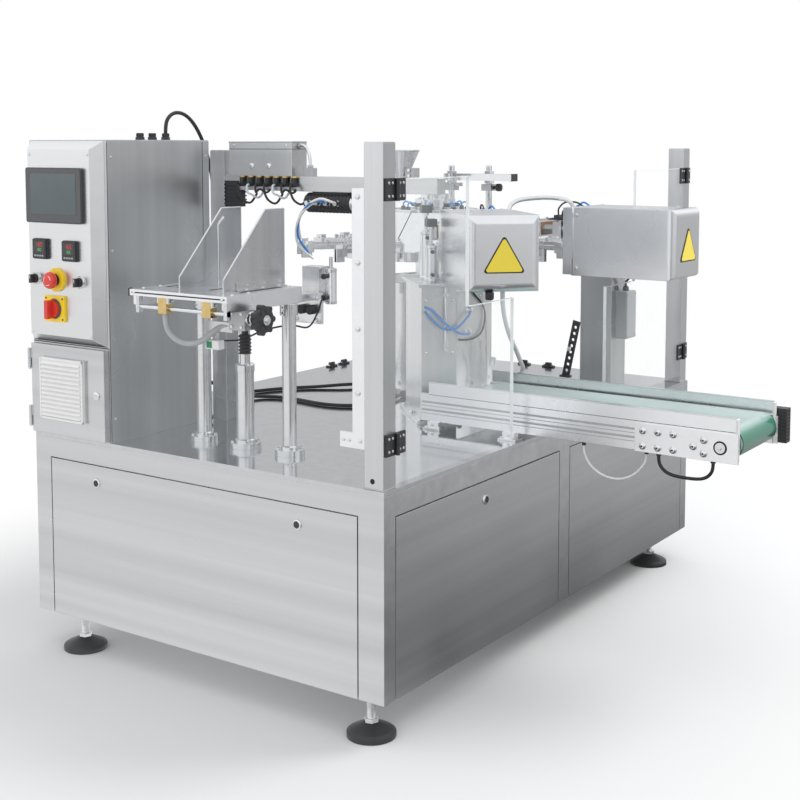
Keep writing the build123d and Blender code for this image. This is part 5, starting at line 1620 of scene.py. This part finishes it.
    def boxes(self) -> None:
        """Lid, screws and cable of the junction box, the strap's bolt and the bent pipe between the covers."""
        right = self.angles[1]
        self.put(
            self.stock("junction_box_lid", GREY, edge=1), right, slab((599.8, 602.4), (95.5, 156.5), (180, 314)),
        )
        screws = self.stock("junction_box_screws", POLISHED)
        for y, z in product((101, 151), (186, 308)):
            self.put(screws, right, dome_screw((602.4, y, z), X, 3.2))
        screws.add(turned([(0, 8), (-4, 8), (-6, 5)], (-339, 1511, 90), Y, 20))
        self.put(
            self.stock("junction_box_gland", BLACK, edge=0.5), right,
            turned([(316, 9), (325, 9), (330, 6.5)], (583, 126, 0), Z, 20),
        )
        lead = [(583, 126, 328), (584, 126, 342), (597, 122, 356), (606, 112, 364), (600, 92, 368), (590, 84, 376)]
        self.put(self.stock("junction_box_lead", SHEATH), right, tube(lead, 3.4, 10))
        pipe = [(-206, 882, 562), (-203, 892, 578), (-192, 922, 590), (-168, 1000, 594),
                (-144, 1066, 590), (-128, 1094, 580), (-122, 1104, 562)]
        self.stock("pipe_between_covers", TURNED).add(tube(pipe, 6, 16))

    def shape(self) -> None:
        """Dress both stations."""
        self.plates()
        self.covers()
        self.jaws()
        self.stands()
        self.boxes()


@dataclass
class FillingDress(Dress):
    """Rolled rim, clamps and knobs of the funnel and of the rods behind it."""

    funnel: Point = (-942.9, 1426.8, 0)
    rods: tuple[Pair, ...] = ((-844, 1600), (-713, 1630))

    def shape(self) -> None:
        """Dress the filling side."""
        steel = self.stock("funnel_rim", POLISHED)
        turn = np.linspace(0, 2 * np.pi, 10, endpoint=False)
        rim = [(722 + 2.8 * math.sin(t), 66.5 + 2.8 * math.cos(t)) for t in turn]
        steel.add(turned(rim, self.funnel, Z, 64, True))
        ring = [(612, 23), (612, 31), (626, 31), (626, 23)]
        steel.add(turned(ring, self.funnel, Z, 48, True))
        caps = self.stock("rod_caps", POLISHED, edge=0.6)
        clamps = self.stock("rod_clamp_blocks", CASTING, edge=1)
        knobs = self.stock("rod_knobs", BLACK, edge=0.8)
        for x, y in self.rods:
            caps.add(turned([(667.5, 10.8), (670, 10), (672, 7), (672.6, 3)], (x, y, 0), Z, 24))
            caps.add(hex_nut((x, y, 643), Z, 19, 9))
            caps.add(hex_nut((x, y, 611), Z, 19, 9))
            clamps.add(slab((x - 19, x + 19), (y - 19, y + 19), (586, 608)))
            for side in (-1, 1):
                caps.add(hex_nut((x + side * 21, y, 12), Z, 5, 4))
        clamps.add(slab((-898, -806), (1590, 1612), (600, 612)))
        knobs.add(turned([(-694, 5), (-682, 5), (-680, 13), (-666, 13), (-664, 9)], (0, 1630, 597), X, 24))
        knobs.add(slab((-612, -604), (1594, 1636), (619, 644)))
        x, y, _ = self.funnel
        stand = (x - 88.1, y + 73.9)
        clamps.add(slab((stand[0] - 22, stand[0] + 22), (stand[1] - 22, stand[1] + 22), (568, 606)))
        clamps.add(slab((x + 34, x + 72), (y - 18, y + 16), (632, 664)))
        caps.add(turned([(0, 4), (46, 4)], (x + 20, y, 640), X, 12))
        for up in (638, 656):
            caps.add(hex_nut((x + 53, y - 18, up), Y, 6, -6))
        knobs.add(turned([(606, 6), (616, 6), (618, 15), (632, 15), (635, 11)], (*stand, 0), Z, 24))


@dataclass
class ConveyorDress(Dress):
    """Bolts, slots, end caps, drive ribs and rollers of the discharge conveyor."""

    near: float = 600
    far: float = 862
    plate_face: float = 595
    bolts: tuple[Pair, ...] = (
        (326.6, 69), (365, 69), (403.3, 69), (326.6, 32.5), (365, 32.5), (403.3, 32.5),
        (452.6, 47.6), (478, 65), (478, 34),
    )
    hub: Pair = (517.3, 51.7)

    def side(self) -> None:
        """Cap bolts, the roller hub and the long slots of the near rail."""
        heads = self.stock("conveyor_bolts", POLISHED, edge=0.5)
        sockets = self.stock("conveyor_bolt_sockets", SHADOW)
        for x, z in self.bolts:
            heads.add(turned([(0, 9), (-1.4, 9), (-4.6, 6.2), (-5.4, 4.4)], (x, self.plate_face, z), Y, 24))
            sockets.add(pressed(polygon(6, 2.6), -4.8, -5.6, Y, (x, self.plate_face, z)))
        x, z = self.hub
        heads.add(turned([(-1, 12.6), (-2.2, 12.6), (-2.2, 4)], (x, self.plate_face, z), Y, 36))
        heads.add(turned([(-2, 4.6), (-4.6, 4)], (x, self.plate_face, z), Y, 24))
        sockets.add(turned([(0, 16), (-1.3, 16), (-1.3, 12)], (x, self.plate_face, z), Y, 36))
        # painted shade: grey strips along the rails stand for the soft shade in their long slots
        grooves = self.stock("rail_groove_shade", CASTING)
        for z, half in ((40, 0.9), (49.5, 2.6), (60, 0.9), (70, 2.6)):
            grooves.add(slab((-302, 306), (self.near - 0.35, self.near + 0.6), (z - half, z + half)))
            grooves.add(slab((-240, 552), (self.far - 0.6, self.far + 0.35), (z - half, z + half)))
        self.stock("guard_seams", SHADOW).add(
            slab((-280, 552), (self.near - 0.3, self.near + 0.5), (89.4, 90.6)),
        )
        caps = self.stock("rail_end_caps", WHITE, edge=1.2)
        caps.add(slab((551.5, 556.5), (self.near - 0.6, self.near + 15), (20.5, 121)))
        caps.add(slab((551.5, 556.5), (self.far - 15, self.far + 0.6), (20.5, 121)))
        caps.add(slab((-306.5, -301.5), (self.near - 0.6, self.near + 14.6), (19.5, 90.5)))
        lips = self.stock("guard_top_lips", POLISHED, edge=0.7)
        lips.add(slab((-280, 552), (self.near - 0.4, self.near + 6), (120.4, 123)))
        lips.add(slab((-240, 552), (self.far - 6, self.far + 0.4), (120.4, 123)))

    def lower(self) -> None:
        """Feet and return rollers under the belt."""
        feet = self.stock("conveyor_feet", POLISHED, edge=0.6)
        for x, y in ((-262, 603), (-36, 603), (-36, 851)):
            feet.add(slab((x - 26, x + 26), (y - 20, y + 18), (0, 5)))
            for across in (-19, 19):
                feet.add(hex_nut((x + across, y - 12, 5), Z, 5.5, 4.5))
            feet.add(socket_screw((x, y - 11, 12), Y, 3.6, -1)[0])
        for x in (60, 250, 440):
            feet.add(turned([(self.near + 14, 5), (self.far - 14, 5)], (x, 0, 28), Y, 16))

    def drive(self) -> None:
        """Cooling ribs and end bell of the drive."""
        ribs = self.stock("drive_ribs", BLACK, edge=0.6)
        for step in range(9):
            z = 27 + step * 8.6
            ribs.add(slab((529, 580), (866, 895), (z, z + 3.2)))
        ribs.add(slab((534, 575), (894, 899), (30, 96)))
        bell = self.stock("drive_bell", CASTING, edge=0.6)
        for x, z in product((538, 571), (34, 92)):
            bell.add(dome_screw((x, 899, z), Y, 3.6))

    def shape(self) -> None:
        """Dress the conveyor."""
        self.side()
        self.lower()
        self.drive()


@dataclass
class Stage:
    """Plain pale floor, soft light and the camera at the photograph's place."""

    camera_m: Point = (1.8754, -3.0751, 1.3074)
    pitch_deg: float = 5.0
    yaw_deg: float = 34.517
    lens_mm: float = 59.947
    sensor_mm: float = 36.0
    shift_y: float = -0.1727
    clip_m: Span = (0.05, 200.0)
    floor_half: float = 30.0
    # painted shade: near the base the floor is this grey, which deepens the lamps' shadows, and it fades to plain
    # white over fade_m
    floor_tone: Tone = (0.69, 0.69, 0.69)
    base_middle: Pair = (-0.288, 0.0358)
    base_half: Pair = (0.5545, 0.8315)
    fade_m: Span = (0.30, 1.20)
    # painted shadow: to light and gloss the floor glows dimmer towards the right and rear of the machine, where its
    # shadow falls
    glow_axis: Pair = (0.8, 0.5)
    glow: tuple[tuple[Span, Span], ...] = (((-0.5, 0.25), (0.87, 0.16)), ((0.25, 2.0), (0.0, 0.36)))
    level: float = 1.12
    overhead: float = 1.05
    lift_z: Span = (0.30, 0.75)
    tint: tuple[tuple[str, float], ...] = (("Red", 0.985), ("Green", 0.995), ("Blue", 1.01))
    dips: tuple[tuple[Point, Span, float], ...] = (
        ((0.616, 0.788, 0.0), (0.80, 0.995), 0.45),
        ((0.66, -0.75, 0.0), (0.93, 0.99), 0.56),
        ((-0.53, 0.79, 0.31), (0.90, 0.985), 0.56),
    )
    lamps: tuple[tuple[str, Point, float, float], ...] = (
        ("key_softbox", (2.3, 2.0, 3.6), 2.0, 105.0),
        ("top_softbox", (-0.6, -1.6, 4.4), 2.8, 15.0),
    )
    aim: Point = (0.0, 0.0, 0.7)

    def camera(self) -> None:
        """Place the camera."""
        data = bpy.data.cameras.new("camera")
        data.sensor_width = self.sensor_mm
        data.lens = self.lens_mm
        data.shift_y = self.shift_y
        data.clip_start, data.clip_end = self.clip_m
        view = bpy.data.objects.new("camera", data)
        view.location = self.camera_m
        view.rotation_euler = (math.radians(90.0 - self.pitch_deg), 0.0, math.radians(self.yaw_deg))
        bpy.context.scene.collection.objects.link(view)
        bpy.context.scene.camera = view

    def seen(self, tree: Tree) -> Socket:
        """One for rays that come from the camera, straight or through a clear sheet, else zero."""
        path = add_node(tree, "ShaderNodeLightPath").outputs
        return reckon(tree, "MAXIMUM", path["Is Camera Ray"], path["Is Transmission Ray"])

    def fade(self, tree: Tree, where: dict[str, Socket]) -> Socket:
        """How far the floor has faded to white, by the distance from the machine's base.

        Args:
            tree: The floor's tree.
            where: Its coordinates X and Y.

        Returns:
            The socket of the share.
        """
        gaps = []
        for label, middle, reach in zip("XY", self.base_middle, self.base_half):
            apart = reckon(tree, "ABSOLUTE", reckon(tree, "SUBTRACT", where[label], middle))
            outside = reckon(tree, "MAXIMUM", reckon(tree, "SUBTRACT", apart, reach), 0.0)
            gaps.append(reckon(tree, "POWER", outside, 2.0))
        distance = reckon(tree, "SQRT", reckon(tree, "ADD", *gaps))
        return eased(tree, distance, self.fade_m, (0.0, 1.0))

    def floor(self) -> None:
        """Lay a large flat floor: grey near the base, painted shade that deepens the lamps' shadows, fading to plain
        white further out; to light and gloss it glows unevenly, dimmer towards the right and rear of the machine, a
        painted shadow seen in reflections.
        """
        half = self.floor_half
        mesh = bpy.data.meshes.new("floor")
        corners = [(-half, -half, 0.0), (half, -half, 0.0), (half, half, 0.0), (-half, half, 0.0)]
        mesh.from_pydata(corners, [], [(0, 1, 2, 3)])
        piece = bpy.data.objects.new("floor", mesh)
        bpy.context.scene.collection.objects.link(piece)
        material = bpy.data.materials.new("pale_floor")
        material.use_nodes = True
        tree = material.node_tree
        tree.nodes.clear()
        place = add_node(tree, "ShaderNodeTexCoord").outputs["Object"]
        where = add_node(tree, "ShaderNodeSeparateXYZ", {0: place}).outputs
        # painted shadow: the glow for light and gloss is dimmer towards the right and rear of the machine
        along_x, along_y = self.glow_axis
        across = reckon(tree, "MULTIPLY_ADD", where["Y"], along_y, reckon(tree, "MULTIPLY", where["X"], along_x))
        side = reckon(tree, "ADD", *[eased(tree, across, *part) for part in self.glow])
        # painted shade: the grey diffuse floor near the base, which fades to white further out
        diffuse = add_node(tree, "ShaderNodeBsdfDiffuse", {"Color": (*self.floor_tone, 1.0)}).outputs[0]
        white = add_node(tree, "ShaderNodeEmission").outputs[0]
        glow = add_node(tree, "ShaderNodeEmission", {"Strength": side}).outputs[0]
        mix = add_node(tree, "ShaderNodeMixShader", {"Fac": self.fade(tree, where), 1: diffuse, 2: white}).outputs[0]
        rays = add_node(tree, "ShaderNodeMixShader", {"Fac": self.seen(tree), 1: glow, 2: mix}).outputs[0]
        add_node(tree, "ShaderNodeOutputMaterial", {"Surface": rays})
        mesh.materials.append(material)

    def world(self) -> None:
        """White to the camera; to light and gloss a soft studio with darker sectors."""
        world = bpy.data.worlds.new("studio")
        bpy.context.scene.world = world
        world.use_nodes = True
        tree = world.node_tree
        tree.nodes.clear()
        where = add_node(tree, "ShaderNodeTexCoord").outputs["Generated"]
        split = add_node(tree, "ShaderNodeSeparateXYZ", {0: where}).outputs
        level = self.level
        for toward, near, low in self.dips:
            level = reckon(tree, "MULTIPLY", self.dip(where, toward, near, low), level)
        lift = eased(tree, split["Z"], self.lift_z, (0.0, 1.0))
        value = reckon(tree, "ADD", reckon(tree, "MULTIPLY", level, reckon(tree, "SUBTRACT", 1.0, lift)),
                       reckon(tree, "MULTIPLY", lift, self.overhead))
        parts = {label: reckon(tree, "MULTIPLY", value, share) for label, share in self.tint}
        colour = add_node(tree, "ShaderNodeCombineColor", parts).outputs[0]
        studio = add_node(tree, "ShaderNodeBackground", {"Color": colour}).outputs[0]
        white = add_node(tree, "ShaderNodeBackground", {"Color": (1.0, 1.0, 1.0, 1.0)}).outputs[0]
        mix = add_node(tree, "ShaderNodeMixShader", {"Fac": self.seen(tree), 1: studio, 2: white}).outputs[0]
        add_node(tree, "ShaderNodeOutputWorld", {"Surface": mix})

    def dip(self, where: Socket, toward: Point, near: Span, low: float) -> Socket:
        """A factor that falls from 1 to low around one direction.

        Args:
            where: Direction of the ray.
            toward: The direction.
            near: Cosines where the fall starts and ends.
            low: The factor at its lowest.

        Returns:
            The socket of the factor.
        """
        tree = where.id_data
        side = add_node(tree, "ShaderNodeVectorMath", {0: where, 1: toward}, operation="DOT_PRODUCT")
        return eased(tree, side.outputs["Value"], near, (1.0, low))

    def lamp(self, name: str, at: Point, size: float, watts: float) -> None:
        """Hang a square soft lamp that faces the machine and doesn't show in gloss.

        Args:
            name: Name of the lamp.
            at: Where it hangs, in metres.
            size: Length of its side, in metres.
            watts: Its power.
        """
        data = bpy.data.lights.new(name, "AREA")
        data.size = size
        data.energy = watts
        lamp = bpy.data.objects.new(name, data)
        lamp.location = at
        lamp.visible_glossy = False
        lamp.rotation_euler = (Vector(self.aim) - Vector(at)).to_track_quat("-Z", "Y").to_euler()
        bpy.context.scene.collection.objects.link(lamp)

    def build(self) -> None:
        """Set the whole stage."""
        bpy.context.scene.view_settings.view_transform = "Standard"
        self.camera()
        self.floor()
        self.world()
        for lamp in self.lamps:
            self.lamp(*lamp)
        LOG.info("stage set")


@dataclass(frozen=True)
class Route:
    """One cable or hose: its control points in the datum, its size and what it is."""

    node: str
    radius: float
    length: float
    finish: Finish
    stiffness: str
    points: tuple[Point, ...]


@dataclass
class Cords:
    """Every cable and hose as a smooth spline on the route that its CAD tube follows."""

    table_lie: float = 5.3
    inlet_z: float = 9.3
    turret: Pair = (-625.0, 1160.0)
    inlet_reach: Pair = (294.0, 246.0)
    made: list[str] = field(default_factory=list)

    def into_inlet(self, angle: float) -> list[Point]:
        """The two last points of a cable that enters the turret's base at an angle, outer one first."""
        centre = (*self.turret, self.inlet_z)
        return [circle(centre, reach, 1, angle)[0] for reach in self.inlet_reach]

    def routes(self) -> list[Route]:
        """The routes, point for point as the solids have them."""
        lie = self.table_lie
        return [
            Route("cabinet_cable", 5, 954, SHEATH, "medium", (
                (-900, 278, 771), (-900, 278, 795), (-901, 292, 816), (-900, 318, 828), (-899, 356, 821),
                (-900, 395, 790), (-902, 432, 735), (-900, 452, 670), (-899, 462, 590), (-901, 466, 490),
                (-899, 464, 380), (-901, 467, 260), (-900, 470, 150), (-900, 472, 70), (-900, 472, 14))),
            Route("rear_table_cable", 5, 616, SHEATH, "medium", (
                (-1030, 480, 14), (-1030, 480, 35), (-1028.5, 491, 55), (-1024, 515, 68), (-1019, 545, 63),
                (-1013, 580, 46), (-1006, 622, 24), (-998, 668, 9), (-984, 722, lie), (-960, 780, lie),
                (-925, 833, lie), (-885, 878, lie), (-850, 911, lie + 2), *self.into_inlet(-132.0))),
            Route("front_table_cable", 5, 789, SHEATH, "medium", (
                (-985, 470, 14), (-985, 470, 34), (-983, 481, 53), (-977, 503, 65), (-970, 530, 62),
                (-962, 560, 48), (-953, 596, 27), (-938, 637, 9), (-908, 675, lie), (-866, 695, lie),
                (-815, 697, lie), (-760, 689, lie), (-702, 681, lie), (-650, 688, lie), (-608, 713, lie),
                (-583, 752, lie), (-572, 805, lie + 2), *self.into_inlet(-80.0))),
            Route("seal_hose", 6, 615, HOSE, "medium", (
                (-122, 708, 361), (-122, 708, 335), (-125, 720, 303), (-133, 748, 266), (-146, 792, 229),
                (-164, 848, 194), (-187, 909, 161), (-213, 970, 131), (-241, 1034, 107), (-272, 1085, 90),
                (-292, 1114, 70), (-300, 1126, 46), (-300, 1126, 14))),
            Route("magazine_conduit", 7, 226, CONDUIT, "medium", (
                (-573, -64.5, 352), (-573, -64.5, 334), (-571.5, -60, 314), (-563, -52, 296), (-548, -42, 284),
                (-526, -31, 280), (-503, -17, 287), (-478, 5, 315.5), (-456, 12, 325), (-431, 12, 325))),
            Route("conveyor_white_cable", 3, 244, WHITE_SHEATH, "limp", (
                (168, 607, 12), (168, 607, -2), (173, 608, -19), (184, 609, -35), (199, 610, -48),
                (219, 610, -57), (243, 609, -61), (267, 609, -59), (290, 608, -50), (309, 607, -36),
                (322, 607, -20), (332, 607, -4), (332, 607, 12))),
            Route("conveyor_black_cable", 4, 188, SHEATH, "limp", (
                (363, 607, 12), (363, 607, -3), (370.5, 608, -17), (383, 609, -27), (401, 610, -32),
                (430, 611, -33.5), (459, 610, -32), (477, 609, -27), (489.5, 608, -17), (497, 607, -3),
                (497, 607, 12))),
        ]

    def lay(self, route: Route) -> None:
        """Lay one cord as a quadratic spline with the route's points as control points.

        Args:
            route: The cord's route and facts.
        """
        curve = bpy.data.curves.new(f"{route.node}_line", "CURVE")
        curve.dimensions = "3D"
        curve.bevel_depth = route.radius * MM
        curve.bevel_resolution = 5
        curve.resolution_u = 8
        curve.use_fill_caps = True
        spline = curve.splines.new("NURBS")
        points = DATUM + np.array(route.points, float) * MM
        spline.points.add(len(points) - 1)
        flat = np.concatenate((points, np.ones((len(points), 1))), axis=1)
        spline.points.foreach_set("co", flat.ravel())
        spline.order_u = 3
        spline.use_endpoint_u = True
        piece = bpy.data.objects.new(f"{route.node}_sheath", curve)
        bpy.context.scene.collection.objects.link(piece)
        curve.materials.append(route.finish.get())
        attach(piece, Body.MACHINE.value)
        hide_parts(route.node)
        self.made.append(piece.name)

    def build(self) -> None:
        """Lay every cord."""
        for route in self.routes():
            self.lay(route)
        LOG.info("cords laid: %s", ", ".join(self.made))


def dress_frame() -> None:
    """Give every CAD node its finish; the metal finishes round its edges in their shading."""
    for name, finish in NODE_FINISH.items():
        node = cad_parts[name]
        node.data.materials.clear()
        node.data.materials.append(finish.get())
    LOG.info("frame dressed: %d nodes", len(NODE_FINISH))


def main() -> None:
    """Build the scene in order."""
    Stage().build()
    dress_frame()
    Cords().build()
    for dress in (
        BaseDress(), ControlsDress(), CabinetDress(), GuardDress(), ValveDress(), MagazineDress(),
        TurretDress(), SealDress(), FillingDress(), ConveyorDress(),
    ):
        dress.build()


if __name__ == "__main__":
    logging.basicConfig(level=logging.INFO, format="%(message)s")
    main()
